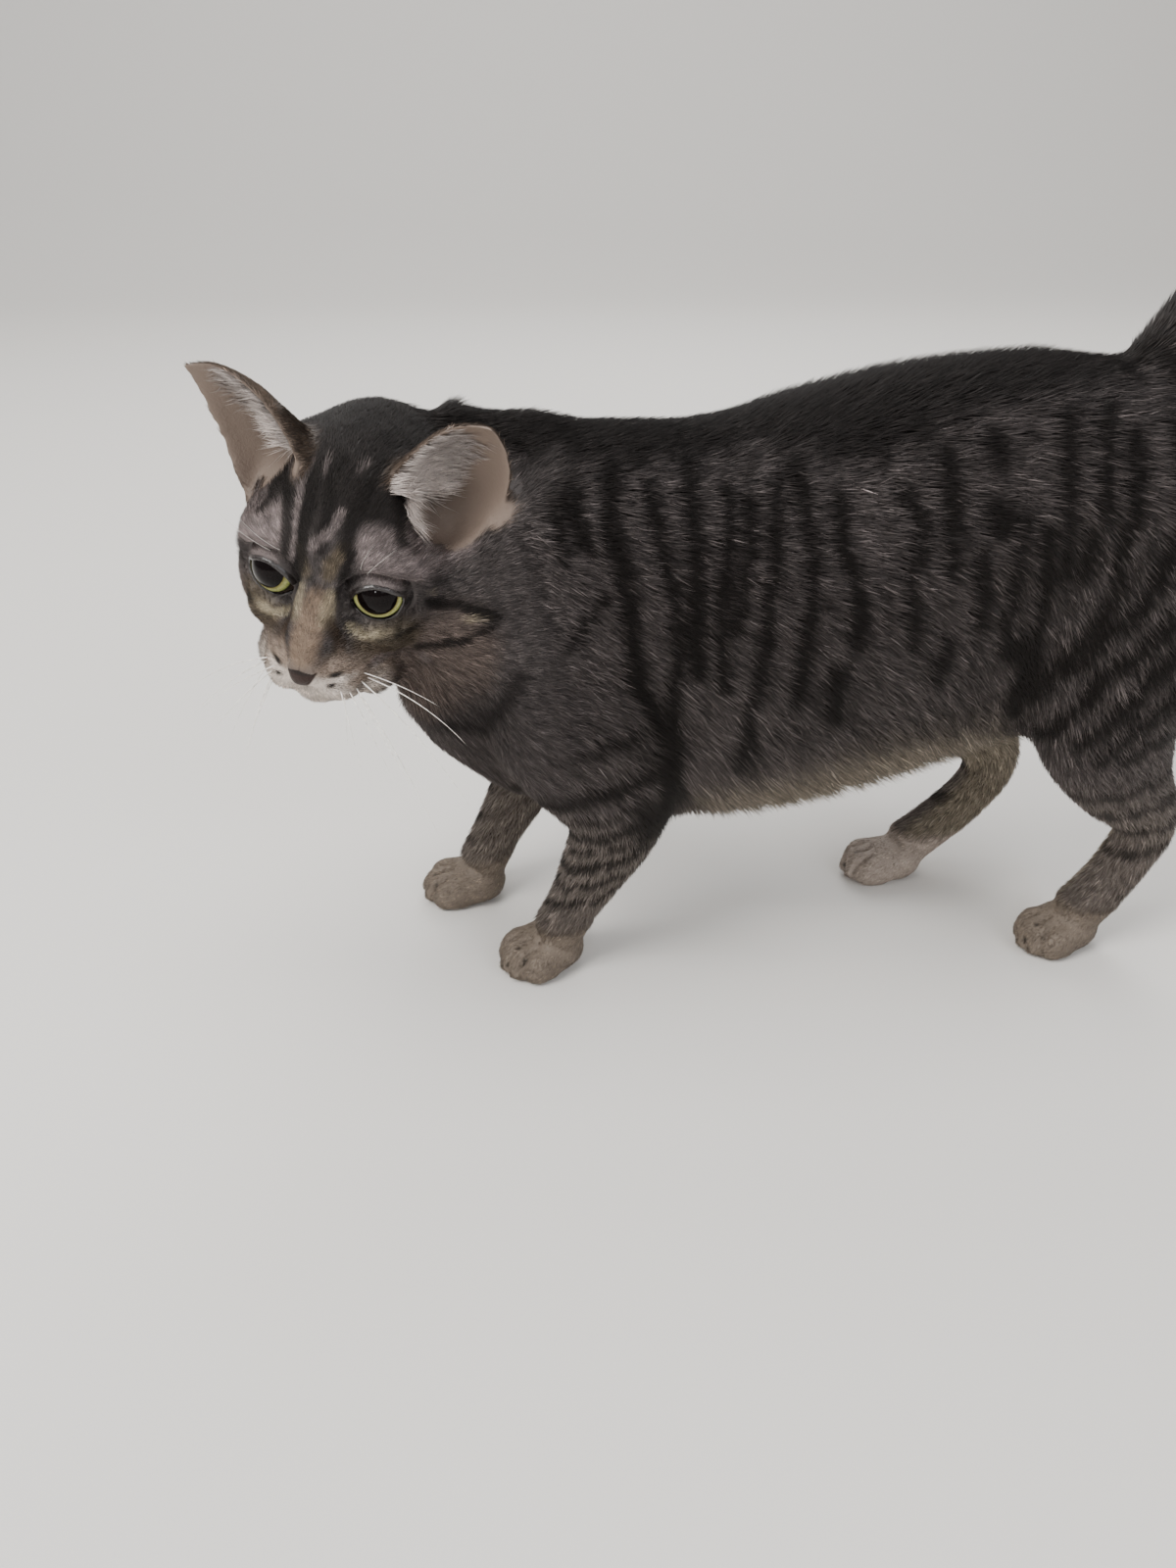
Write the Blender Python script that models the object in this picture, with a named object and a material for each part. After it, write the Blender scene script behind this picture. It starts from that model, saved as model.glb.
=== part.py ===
"""A life-size shorthaired cat, standing with a low head turned to its left and the tail raised.

The cat faces -Y, its left side is +X and +Z is up. The whole form is modelled out to the tips of the coat
as overlapping lofts and ellipsoids, fused by voxel remeshing, and then parted with thin cuts into the parts
that a person would name. Lengths are in metres.
"""

import math

import bmesh
import bpy
from mathutils import Matrix, Vector

# Driving dimensions of the standing cat.
CUT_GAP = 0.0003  # thin cut between neighbouring parts
FORM_TRIANGLES = 4850  # faceted form before it is parted
SOFT_VOXEL = 0.0024  # grid that fuses the large masses
FINE_VOXEL = 0.0014  # grid that fuses ears, toes and muzzle onto them
RING_SIDES = 28
LOFT_STEPS = 5  # rings between two key stations

EYE_RADIUS = 0.0108
EYE_CENTRE = (-0.0108, 0.0200, -0.0002)  # the left eyeball in head axes
EYE_OPENING = (0.0094, 0.0077)  # half width and half height between the lids
EYE_TURN = 12.0  # degrees that each eye looks out to its own side
EYE_SLANT = 6.0  # degrees that the outer corner stands above the inner one
LID_WALL = 0.0016
EAR_WALL = 0.0030
EAR_WIDTH = 0.043
# Each ear in head axes: root, direction of the tip, direction that it opens (1 is the left ear).
EARS = {
    1: ((-0.0320, 0.0316, 0.0160), (-0.15, 0.55, 0.80), (0.947, 0.235, 0.016)),
    -1: ((-0.0330, -0.0325, 0.0230), (-0.16, -0.68, 0.70), (0.93, -0.33, 0.00)),
}
# Each ear's outline: length, how late it narrows, how pointed its tip is, lean towards the crown, how late it
# leans, and how far the tip itself hooks back.
EAR_OUTLINES = {1: (0.053, 3.0, 0.55, -0.007, 2.0, 0.0), -1: (0.050, 2.2, 0.66, 0.008, 1.2, 1.0)}
TOE_RADIUS = 0.0072

# Head pose: midpoint between the pupils, and the directions that the face looks, its left and its crown.
EYES_MIDDLE = Vector((0.046, -0.066, 0.191))
FACE_TURN = math.radians(70.5)  # from straight ahead towards the cat's left
FACE_DIP = math.radians(19.0)
FACE_ROLL = math.radians(-11.0)


def head_matrix():
    """Head axes: local +X out of the face, +Y to the cat's left, +Z to the crown."""
    turn = Matrix.Rotation(-math.pi / 2 + FACE_TURN, 4, "Z")
    dip = Matrix.Rotation(FACE_DIP, 4, "Y")
    roll = Matrix.Rotation(FACE_ROLL, 4, "X")
    return Matrix.Translation(EYES_MIDDLE) @ turn @ dip @ roll


HEAD = head_matrix()

# Trunk stations from chest to rump: distance behind the forepaws, back, belly, half width.
TRUNK = (
    (-0.042, 0.186, 0.127, 0.026),
    (-0.026, 0.208, 0.102, 0.040),
    (0.003, 0.2340, 0.081, 0.050),
    (0.040, 0.2435, 0.072, 0.057),
    (0.080, 0.2430, 0.068, 0.062),
    (0.120, 0.2510, 0.074, 0.065),
    (0.160, 0.2605, 0.083, 0.065),
    (0.200, 0.2655, 0.094, 0.062),
    (0.240, 0.2665, 0.104, 0.057),
    (0.275, 0.2580, 0.124, 0.050),
    (0.302, 0.2400, 0.150, 0.036),
    (0.315, 0.2180, 0.175, 0.020),
)

# Skull stations from the nape to the face, in head axes: forward, crown, throat, half width, widest height.
SKULL = (
    (-0.090, 0.031, -0.022, 0.020, 0.000),
    (-0.078, 0.040, -0.038, 0.034, 0.000),
    (-0.060, 0.0435, -0.049, 0.0415, 0.000),
    (-0.042, 0.0440, -0.052, 0.0430, 0.002),
    (-0.026, 0.0400, -0.051, 0.0400, 0.002),
    (-0.013, 0.0310, -0.047, 0.0350, -0.002),
    (-0.004, 0.0180, -0.041, 0.0270, -0.008),
    (0.002, 0.0050, -0.034, 0.0180, -0.012),
)

# Neck keys from the shoulders to the back of the skull: centre, half width, half height.
NECK = (
    ((0.000, 0.045, 0.172), 0.046, 0.068),
    ((-0.005, 0.014, 0.180), 0.042, 0.067),
    ((-0.012, -0.012, 0.189), 0.038, 0.064),
    ((-0.017, -0.030, 0.199), 0.036, 0.058),
    ((-0.018, -0.042, 0.205), 0.033, 0.053),
)

# Limb keys from the body to the paw: centre, half width across the cat, half depth fore and aft.
FORELEG_LEFT = (
    ((0.022, 0.052, 0.205), 0.018, 0.026),
    ((0.036, 0.036, 0.170), 0.022, 0.034),
    ((0.044, 0.030, 0.135), 0.023, 0.036),
    ((0.047, 0.044, 0.105), 0.020, 0.030),
    ((0.045, 0.048, 0.083), 0.0170, 0.0215),
    ((0.039, 0.039, 0.056), 0.0140, 0.0160),
    ((0.034, 0.030, 0.034), 0.0125, 0.0130),
    ((0.030, 0.023, 0.018), 0.0135, 0.0130),
)
FORELEG_RIGHT = (
    ((-0.022, 0.048, 0.205), 0.018, 0.026),
    ((-0.036, 0.026, 0.170), 0.022, 0.034),
    ((-0.044, 0.014, 0.135), 0.023, 0.036),
    ((-0.046, 0.022, 0.105), 0.020, 0.029),
    ((-0.043, 0.022, 0.083), 0.0165, 0.0210),
    ((-0.037, 0.009, 0.056), 0.0140, 0.0160),
    ((-0.032, -0.004, 0.034), 0.0125, 0.0130),
    ((-0.029, -0.012, 0.018), 0.0135, 0.0130),
)
HINDLEG_LEFT = (
    ((0.024, 0.262, 0.222), 0.022, 0.034),
    ((0.036, 0.264, 0.190), 0.026, 0.048),
    ((0.045, 0.260, 0.155), 0.025, 0.047),
    ((0.048, 0.256, 0.125), 0.022, 0.034),
    ((0.045, 0.270, 0.096), 0.0165, 0.0235),
    ((0.041, 0.289, 0.072), 0.0135, 0.0145),
    ((0.038, 0.285, 0.048), 0.0122, 0.0128),
    ((0.035, 0.275, 0.026), 0.0125, 0.0125),
    ((0.033, 0.268, 0.015), 0.0130, 0.0120),
)
HINDLEG_RIGHT = (
    ((-0.024, 0.256, 0.222), 0.022, 0.034),
    ((-0.036, 0.248, 0.188), 0.026, 0.048),
    ((-0.045, 0.232, 0.150), 0.025, 0.046),
    ((-0.048, 0.214, 0.118), 0.022, 0.034),
    ((-0.045, 0.226, 0.090), 0.0165, 0.0225),
    ((-0.041, 0.250, 0.066), 0.0135, 0.0145),
    ((-0.038, 0.240, 0.043), 0.0122, 0.0128),
    ((-0.035, 0.218, 0.024), 0.0125, 0.0125),
    ((-0.033, 0.205, 0.015), 0.0130, 0.0120),
)

TAIL = (
    ((0.000, 0.258, 0.230), 0.0210, 0.0210),
    ((0.000, 0.272, 0.254), 0.0195, 0.0195),
    ((0.000, 0.287, 0.280), 0.0175, 0.0175),
    ((0.001, 0.308, 0.314), 0.0160, 0.0160),
    ((0.003, 0.330, 0.352), 0.0152, 0.0152),
    ((0.006, 0.354, 0.390), 0.0145, 0.0145),
    ((0.010, 0.380, 0.424), 0.0135, 0.0135),
    ((0.015, 0.409, 0.449), 0.0118, 0.0118),
    ((0.019, 0.432, 0.462), 0.0085, 0.0085),
)

# Paws: middle of the pad, degrees that the toes turn out to the cat's left, length, half width.
PAWS = {
    "forepaw_left": ((0.030, 0.018), 34.0, 0.040, 0.0165),
    "forepaw_right": ((-0.029, -0.018), 8.0, 0.040, 0.0165),
    "hindpaw_left": ((0.034, 0.264), 22.0, 0.040, 0.0150),
    "hindpaw_right": ((-0.032, 0.198), 8.0, 0.040, 0.0150),
}


COAT = (0.150, 0.125, 0.105), 0.9
COLOURS = {
    "eye_left": ((0.020, 0.022, 0.012), 0.08),
    "eye_right": ((0.020, 0.022, 0.012), 0.08),
    "nose": ((0.110, 0.060, 0.052), 0.5),
    "tail_tip": ((0.030, 0.025, 0.022), 0.9),
    "tail_middle": ((0.070, 0.058, 0.050), 0.9),
    "forepaw_left": ((0.200, 0.175, 0.150), 0.9),
    "forepaw_right": ((0.200, 0.175, 0.150), 0.9),
    "hindpaw_left": ((0.200, 0.175, 0.150), 0.9),
    "hindpaw_right": ((0.260, 0.240, 0.215), 0.9),
}


def catmull_rom(values, t):
    """Smooth curve through the values, each a tuple of numbers; t runs from 0 to len(values) - 1."""
    i = min(int(t), len(values) - 2)
    u = t - i
    before, start = values[max(i - 1, 0)], values[i]
    end, after = values[i + 1], values[min(i + 2, len(values) - 1)]
    return [
        0.5 * (2 * b + (c - a) * u + (2 * a - 5 * b + 4 * c - d) * u**2 + (3 * b - a - 3 * c + d) * u**3)
        for a, b, c, d in zip(before, start, end, after)
    ]


def resampled(keys):
    """The key stations with smooth stations between them."""
    steps = (len(keys) - 1) * LOFT_STEPS
    return [catmull_rom(keys, k / LOFT_STEPS) for k in range(steps + 1)]


def skin_rings(bm, rings):
    """Closes a tube over rings of points, with a fan at each end."""
    loops = [[bm.verts.new(p) for p in ring] for ring in rings]
    for lower, upper in zip(loops, loops[1:]):
        for k in range(len(lower)):
            n = (k + 1) % len(lower)
            bm.faces.new((lower[k], lower[n], upper[n], upper[k]))
    for loop in (loops[0], loops[-1]):
        centre = bm.verts.new(sum((v.co for v in loop), Vector()) / len(loop))
        for k in range(len(loop)):
            bm.faces.new((loop[k], loop[(k + 1) % len(loop)], centre))


def add_trunk(bm):
    """Rings across the body; the ribs are fullest a little below mid height."""
    rings = []
    for y, back, belly, half_width in resampled(TRUNK):
        middle = belly + 0.50 * (back - belly)
        ring = []
        for k in range(RING_SIDES):
            a = 2 * math.pi * k / RING_SIDES
            c, s = math.cos(a), math.sin(a)
            height = (back - middle) if s > 0 else (middle - belly)
            square = 0.92
            x = half_width * math.copysign(abs(c) ** square, c)
            ring.append(Vector((x, y, middle + height * math.copysign(abs(s) ** square, s))))
        rings.append(ring)
    skin_rings(bm, rings)


def add_limb(bm, keys):
    """A tube along the keys' centres, its section an ellipse square to the path."""
    flat = [tuple(centre) + (side, fore) for centre, side, fore in keys]
    stations = resampled(flat)
    rings = []
    for i, (x, y, z, side, fore) in enumerate(stations):
        ahead = stations[min(i + 1, len(stations) - 1)]
        behind = stations[max(i - 1, 0)]
        along = (Vector(ahead[:3]) - Vector(behind[:3])).normalized()
        depth = along.cross(Vector((1, 0, 0))).normalized()
        across = depth.cross(along)
        ring = []
        for k in range(RING_SIDES):
            a = 2 * math.pi * k / RING_SIDES
            ring.append(Vector((x, y, z)) + across * side * math.cos(a) + depth * fore * math.sin(a))
        rings.append(ring)
    skin_rings(bm, rings)


def add_ellipsoid(bm, centre, radii, frame=Matrix.Identity(4), tilt=0.0):
    """An ellipsoid in the given frame, its X axis tipped down by tilt degrees."""
    place = frame @ Matrix.Translation(centre) @ Matrix.Rotation(math.radians(tilt), 4, "Y")
    size = Matrix.Diagonal((*radii, 1))
    bmesh.ops.create_icosphere(bm, subdivisions=4, radius=1.0, matrix=place @ size)


def add_skull(bm):
    """The skull with its coat as rings square to the way the face looks, with cheeks and ear roots."""
    rings = []
    for x, top, bottom, half_width, widest in resampled(SKULL):
        ring = []
        for k in range(RING_SIDES):
            a = 2 * math.pi * k / RING_SIDES
            c, s = math.cos(a), math.sin(a)
            height = (top - widest) if s > 0 else (widest - bottom)
            y = half_width * math.copysign(abs(c) ** 0.90, c) * (1 - 0.14 * max(s, 0.0))
            ring.append(HEAD @ Vector((x, y, widest + height * math.copysign(abs(s) ** 0.92, s))))
        rings.append(ring)
    skin_rings(bm, rings)
    for side in (-1, 1):
        add_ellipsoid(bm, (-0.030, side * 0.0270, -0.017), (0.024, 0.0195, 0.023), HEAD)  # cheek
        add_ellipsoid(bm, (-0.026, side * 0.0275, 0.002), (0.020, 0.0155, 0.017), HEAD)  # temple
        add_ellipsoid(bm, (-0.022, side * 0.0150, -0.036), (0.022, 0.0170, 0.016), HEAD)  # jaw ruff
        add_ellipsoid(bm, (-0.052, side * 0.0260, 0.016), (0.019, 0.016, 0.018), HEAD)  # behind the ear


def add_face(bm):
    """Brows, lids, nose bridge, whisker pads and chin, in head axes."""
    add_ellipsoid(bm, (0.0065, 0, -0.0085), (0.0225, 0.0098, 0.0088), HEAD, 46)  # bridge of the nose
    add_ellipsoid(bm, (0.0165, 0, -0.0225), (0.0098, 0.0084, 0.0076), HEAD, 35)  # nose
    add_ellipsoid(bm, (-0.0010, 0, -0.0255), (0.0215, 0.0225, 0.0155), HEAD)  # muzzle
    add_ellipsoid(bm, (0.0040, 0, -0.0420), (0.0130, 0.0120, 0.0085), HEAD)  # chin
    for side in (-1, 1):
        ball = (EYE_CENTRE[0] - 0.0004, side * EYE_CENTRE[1], EYE_CENTRE[2])
        lids = EYE_RADIUS + LID_WALL
        add_ellipsoid(bm, ball, (lids, lids, lids), HEAD)
        add_ellipsoid(bm, (-0.0135, side * 0.0190, 0.0120), (0.0110, 0.0175, 0.0100), HEAD)  # brow
        add_ellipsoid(bm, (-0.0085, side * 0.0185, -0.0160), (0.0140, 0.0160, 0.0115), HEAD, 20)  # below the eye
        add_ellipsoid(bm, (0.0080, side * 0.0098, -0.0312), (0.0140, 0.0116, 0.0098), HEAD, 14)  # whisker pad
        add_ellipsoid(bm, (-0.0050, side * 0.0190, -0.0370), (0.0150, 0.0100, 0.0095), HEAD)  # corner of the mouth


def ear_frame(side):
    """Ear axes: local +Z from root to tip, +X the way the ear opens, on the given side of the head."""
    root, up, opening = (Vector(v) for v in EARS[side])
    up.normalize()
    opening = (opening - opening.dot(up) * up).normalized()
    axes = Matrix((opening, up.cross(opening), up)).transposed().to_4x4()
    return HEAD @ Matrix.Translation(root) @ axes


def add_ear(bm, side):
    """A cone of thin cartilage, open in front, that narrows to a rounded tip."""
    frame = ear_frame(side)
    length, late, point, lean, lean_late, hook = EAR_OUTLINES[side]
    rows, columns = 14, 16
    grid = {}
    for r in range(rows + 1):
        v = r / rows
        half_width = EAR_WIDTH / 2 * (1 - v**late) ** point + 0.0012
        middle = lean * v**lean_late * (1 - hook * v**9)
        wrap = math.radians(112 - 58 * v)  # half of the arc that the cartilage covers
        radius = half_width / math.sin(min(wrap, math.pi / 2))
        for c in range(columns + 1):
            a = wrap * (2 * c / columns - 1)
            x = 0.8 * radius * (0.62 * math.cos(wrap) - math.cos(a)) - 0.003 * math.sin(math.pi * v) + 0.003
            y = radius * math.sin(a) + middle
            z = length * v * (1 - 0.07 * (a / wrap) ** 2) - 0.010 * (1 - v)
            wall = EAR_WALL / 2 * (1 - 0.15 * v)
            outward = Vector((-math.cos(a), math.sin(a), 0.0)) * wall
            place = Vector((x, y, z))
            grid[r, c, 0] = bm.verts.new(frame @ (place - outward))
            grid[r, c, 1] = bm.verts.new(frame @ (place + outward))
    for layer in (0, 1):
        for r in range(rows):
            for c in range(columns):
                quad = [grid[r, c, layer], grid[r, c + 1, layer], grid[r + 1, c + 1, layer], grid[r + 1, c, layer]]
                bm.faces.new(quad if layer else quad[::-1])
    rim = [(0, c) for c in range(columns)] + [(r, columns) for r in range(rows)]
    rim += [(rows, c) for c in range(columns, 0, -1)] + [(r, 0) for r in range(rows, 0, -1)]
    for here, there in zip(rim, rim[1:] + rim[:1]):
        bm.faces.new((grid[*here, 0], grid[*there, 0], grid[*there, 1], grid[*here, 1]))


def add_paw(bm, middle, turn_out, length, half_width):
    """A rounded paw with four toes in front, its pads pressed flat on the floor."""
    frame = Matrix.Translation((*middle, 0)) @ Matrix.Rotation(math.radians(turn_out), 4, "Z")
    add_ellipsoid(bm, (0, 0.002, 0.0085), (half_width, length * 0.42, 0.0110), frame)
    for k in range(4):
        spread = (k - 1.5) / 1.5
        x = spread * (half_width - TOE_RADIUS * 0.75)
        y = -length * 0.34 + 0.0050 * spread**2
        add_ellipsoid(bm, (x, y, 0.0075), (TOE_RADIUS * 0.82, TOE_RADIUS * 1.45, 0.0092), frame)
        add_ellipsoid(bm, (x, y - 0.0035, 0.0058), (TOE_RADIUS * 0.76, TOE_RADIUS * 1.10, 0.0070), frame)


def object_of(name, bm):
    bmesh.ops.recalc_face_normals(bm, faces=bm.faces)
    mesh = bpy.data.meshes.new(name)
    bm.to_mesh(mesh)
    bm.free()
    obj = bpy.data.objects.new(name, mesh)
    bpy.context.scene.collection.objects.link(obj)
    return obj


def baked(obj):
    """The object's mesh with its modifiers applied."""
    bpy.context.view_layer.update()
    graph = bpy.context.evaluated_depsgraph_get()
    return bpy.data.meshes.new_from_object(obj.evaluated_get(graph), depsgraph=graph)


def fuse(obj, voxel):
    """Fuses the overlapping shapes of an object into one skin."""
    remesh = obj.modifiers.new("fuse", "REMESH")
    remesh.mode = "VOXEL"
    remesh.voxel_size = voxel
    mesh = baked(obj)
    bpy.data.objects.remove(obj)
    return mesh


def soften(mesh, share, iterations):
    """Evens out the seams between the shapes, as much as the share of each point says."""
    obj = bpy.data.objects.new("soft", mesh)
    bpy.context.scene.collection.objects.link(obj)
    group = obj.vertex_groups.new(name="soft")
    for vertex in mesh.vertices:
        group.add([vertex.index], share(vertex.co), "REPLACE")
    smooth = obj.modifiers.new("soften", "SMOOTH")
    smooth.factor = 0.5
    smooth.iterations = iterations
    smooth.vertex_group = group.name
    softer = baked(obj)
    bpy.data.objects.remove(obj)
    return softer


def clamped(value):
    return max(0.0, min(1.0, value))


def bulk_softness(point):
    """1 on the trunk and head, less down the slim legs and the tail."""
    legs = clamped((0.120 - point.z) / 0.040)
    tail = clamped((point.y - 0.300) / 0.020)
    return 1.0 - 0.75 * max(legs, tail)


def face_softness(point):
    """1 over the face, less at the nose, almost none on the ears and paws."""
    local = HEAD.inverted() @ point
    if local.length > 0.11:
        return 0.12
    ear = clamped((local.z - 0.026) / 0.008) * clamped((abs(local.y) - 0.012) / 0.008)
    nose = clamped(1 - (local - Vector((0.024, 0, -0.025))).length / 0.012)
    return clamped(1.0 - 0.92 * ear - 0.7 * nose)


def detail_share(point):
    """1 on the face, falling to 0 behind the head; part of it on the paws."""
    local = HEAD.inverted() @ point
    face = clamped((0.100 - local.length) / 0.030)
    paw = 0.5 * clamped((0.030 - point.z) / 0.010)
    return max(face, paw)


def whole_form():
    """The cat in one closed faceted mesh, standing on flat paws."""
    bm = bmesh.new()
    add_trunk(bm)
    for keys in (NECK, TAIL, FORELEG_LEFT, FORELEG_RIGHT, HINDLEG_LEFT, HINDLEG_RIGHT):
        add_limb(bm, keys)
    add_ellipsoid(bm, TAIL[-1][0], (0.0078, 0.0078, 0.0078))
    add_skull(bm)
    bulk = object_of("bulk", bm)
    hollows = bmesh.new()
    for side in (-1, 1):
        add_ellipsoid(hollows, (-0.004, 0, 0.010), (0.0125, 0.0165, 0.0210), ear_frame(side))
    hollow = cutter(object_of("ear_hollows", hollows))
    masses = bpy.data.objects.new("masses", fuse(bulk, SOFT_VOXEL))
    bpy.context.scene.collection.objects.link(masses)
    cut(masses, hollow, "DIFFERENCE")
    soft = soften(baked(masses), bulk_softness, 30)
    bpy.data.objects.remove(masses)
    bpy.data.objects.remove(hollow)

    bm = bmesh.new()
    bm.from_mesh(soft)
    add_face(bm)
    for side in (-1, 1):
        add_ear(bm, side)
    for middle, turn_out, length, half_width in PAWS.values():
        add_paw(bm, middle, turn_out, length, half_width)
    fine = soften(fuse(object_of("form", bm), FINE_VOXEL), face_softness, 18)

    obj = bpy.data.objects.new("facets", fine)
    bpy.context.scene.collection.objects.link(obj)
    group = obj.vertex_groups.new(name="keep")
    for vertex in fine.vertices:
        group.add([vertex.index], 1.0 - 0.95 * detail_share(vertex.co), "REPLACE")
    thin = obj.modifiers.new("thin", "DECIMATE")
    thin.ratio = FORM_TRIANGLES / (2 * len(fine.polygons))
    thin.vertex_group = group.name
    thin.vertex_group_factor = 0.00002
    floor = block("floor", Matrix.Translation((0, 0.15, -0.05)), (0.5, 0.5, 0.05))
    cut(obj, floor, "DIFFERENCE")
    mesh = baked(obj)
    bpy.data.objects.remove(obj)
    bpy.data.objects.remove(floor)
    return mesh


def cutter(obj):
    obj.hide_render = True
    obj.display_type = "WIRE"
    return obj


def block(name, frame, half_sizes, grown=0.0):
    """A box cutter centred on the frame, grown on every side."""
    bm = bmesh.new()
    size = Matrix.Diagonal((*[2 * (h + grown) for h in half_sizes], 1))
    bmesh.ops.create_cube(bm, size=1.0, matrix=frame @ size)
    return cutter(object_of(name, bm))


def cut(obj, tool, operation):
    boolean = obj.modifiers.new(tool.name, "BOOLEAN")
    boolean.operation = operation
    boolean.solver = "EXACT"
    boolean.object = tool


def parted(mesh, name, frame, half_sizes):
    """Cuts the part inside a box out of the mesh: returns the part and what is left."""
    halves = []
    for operation, grown in (("INTERSECT", 0.0), ("DIFFERENCE", CUT_GAP)):
        obj = bpy.data.objects.new(name, mesh)
        bpy.context.scene.collection.objects.link(obj)
        tool = block("cut", frame, half_sizes, grown)
        cut(obj, tool, operation)
        halves.append(baked(obj))
        bpy.data.objects.remove(obj)
        bpy.data.objects.remove(tool)
    return halves


def without_crumbs(mesh):
    """Keeps the largest connected body of the mesh."""
    bm = bmesh.new()
    bm.from_mesh(mesh)
    waiting = set(bm.verts)
    bodies = []
    while waiting:
        reach = [waiting.pop()]
        body = []
        while reach:
            vertex = reach.pop()
            body.append(vertex)
            for edge in vertex.link_edges:
                other = edge.other_vert(vertex)
                if other in waiting:
                    waiting.remove(other)
                    reach.append(other)
        bodies.append(body)
    bodies.sort(key=len)
    for body in bodies[:-1]:
        bmesh.ops.delete(bm, geom=body, context="VERTS")
    bm.to_mesh(mesh)
    bm.free()
    return mesh


def box(low, high):
    low, high = Vector(low), Vector(high)
    return Matrix.Translation((low + high) / 2), (high - low) / 2


def beyond(point, direction, reach, half_across, half_fore):
    """A box region that starts at the point and runs along the direction."""
    along = Vector(direction).normalized()
    across = Vector((1, 0, 0)) if abs(along.x) < 0.5 else Vector((0, 1, 0))
    across = (across - across.dot(along) * along).normalized()
    turn = Matrix((across, along.cross(across), along)).transposed().to_4x4()
    return Matrix.Translation(Vector(point) + along * reach / 2) @ turn, (half_across, half_fore, reach / 2)


def tail_cut(key):
    """A region beyond the key station of the tail."""
    ahead = Vector(TAIL[key + 1][0]) - Vector(TAIL[key][0])
    return beyond(TAIL[key][0], ahead, 0.30, 0.060, 0.060)


def limb_cut(start, end, half_across, half_fore):
    return beyond(start, Vector(end) - Vector(start), 0.12, half_across, half_fore)


def regions():
    """Where each part is parted from what is left, in this order."""
    yield "nose", HEAD @ Matrix.Translation((0.0280, 0, -0.0250)), (0.0060, 0.0072, 0.0058)
    for name, side in (("ear_left", 1), ("ear_right", -1)):
        yield name, ear_frame(side) @ Matrix.Translation((-0.0035, 0, 0.048)), (0.0160, 0.0250, 0.030)
    yield "head", *beyond((0.0, -0.029, 0.195), (0.67, -0.745, 0.03), 0.16, 0.10, 0.10)
    yield "neck", *beyond((0.0, 0.000, 0.190), (0, -0.863, 0.504), 0.16, 0.12, 0.12)
    yield "tail_tip", *tail_cut(5)
    yield "tail_middle", *tail_cut(3)
    yield "tail_root", *beyond((0, 0.278, 0.266), (0, 0.50, 0.866), 0.20, 0.030, 0.030)
    yield "forepaw_left", *box((0.004, -0.030, -0.01), (0.075, 0.066, 0.026))
    yield "forepaw_right", *box((-0.075, -0.060, -0.01), (0.004, 0.040, 0.026))
    yield "hindpaw_left", *box((0.004, 0.220, -0.01), (0.075, 0.320, 0.026))
    yield "hindpaw_right", *box((-0.075, 0.150, -0.01), (-0.004, 0.260, 0.026))
    yield "foreleg_left", *limb_cut((0.0480, 0.047, 0.098), (0.0330, 0.028, 0.028), 0.022, 0.045)
    yield "foreleg_right", *limb_cut((-0.0475, 0.023, 0.098), (-0.0320, -0.006, 0.028), 0.022, 0.045)
    yield "shank_left", *limb_cut((0.0500, 0.262, 0.112), (0.0390, 0.282, 0.040), 0.026, 0.055)
    yield "shank_right", *limb_cut((-0.0500, 0.222, 0.106), (-0.0390, 0.240, 0.035), 0.026, 0.055)
    yield "thigh_left", *box((0.034, 0.200, 0.070), (0.090, 0.330, 0.212))
    yield "thigh_right", *box((-0.090, 0.180, 0.060), (-0.034, 0.320, 0.212))


def add_eye(side):
    """One eyeball and the cutter of its socket, open between the lids."""
    place = HEAD @ Matrix.Translation((EYE_CENTRE[0], side * EYE_CENTRE[1], EYE_CENTRE[2]))
    place = place @ Matrix.Rotation(math.radians(side * EYE_TURN), 4, "Z")
    bm = bmesh.new()
    bmesh.ops.create_icosphere(bm, subdivisions=3, radius=EYE_RADIUS, matrix=place)
    eye = object_of("eye_left" if side > 0 else "eye_right", bm)
    bm = bmesh.new()
    bmesh.ops.create_icosphere(bm, subdivisions=3, radius=EYE_RADIUS + 1.3 * CUT_GAP, matrix=place)
    socket = cutter(object_of("socket", bm))
    bm = bmesh.new()
    slant = Matrix.Rotation(math.radians(side * EYE_SLANT), 4, "X")
    forward = Matrix.Rotation(math.pi / 2, 4, "Y")
    size = Matrix.Diagonal((EYE_OPENING[1], EYE_OPENING[0], 1, 1))
    shape = place @ slant @ Matrix.Translation((0.012, 0, 0)) @ forward @ size
    bmesh.ops.create_cone(bm, cap_ends=True, segments=26, radius1=1.0, radius2=1.0, depth=0.024, matrix=shape)
    opening = cutter(object_of("opening", bm))
    return eye, (socket, opening)


def named_parts(form):
    """Every part as its own object."""
    body = bpy.data.objects.new("body", form)
    bpy.context.scene.collection.objects.link(body)
    eyes = [add_eye(side) for side in (-1, 1)]
    for eye, tools in eyes:
        for tool in tools:
            cut(body, tool, "DIFFERENCE")
    rest = baked(body)
    bpy.data.objects.remove(body)
    for eye, tools in eyes:
        for tool in tools:
            bpy.data.objects.remove(tool)
    parts = [eye for eye, tools in eyes]
    for name, frame, half_sizes in regions():
        piece, rest = parted(rest, name, frame, half_sizes)
        parts.append(bpy.data.objects.new(name, without_crumbs(piece)))
    parts.append(bpy.data.objects.new("trunk", without_crumbs(rest)))
    for obj in parts[2:]:
        bpy.context.scene.collection.objects.link(obj)
    return parts


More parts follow.
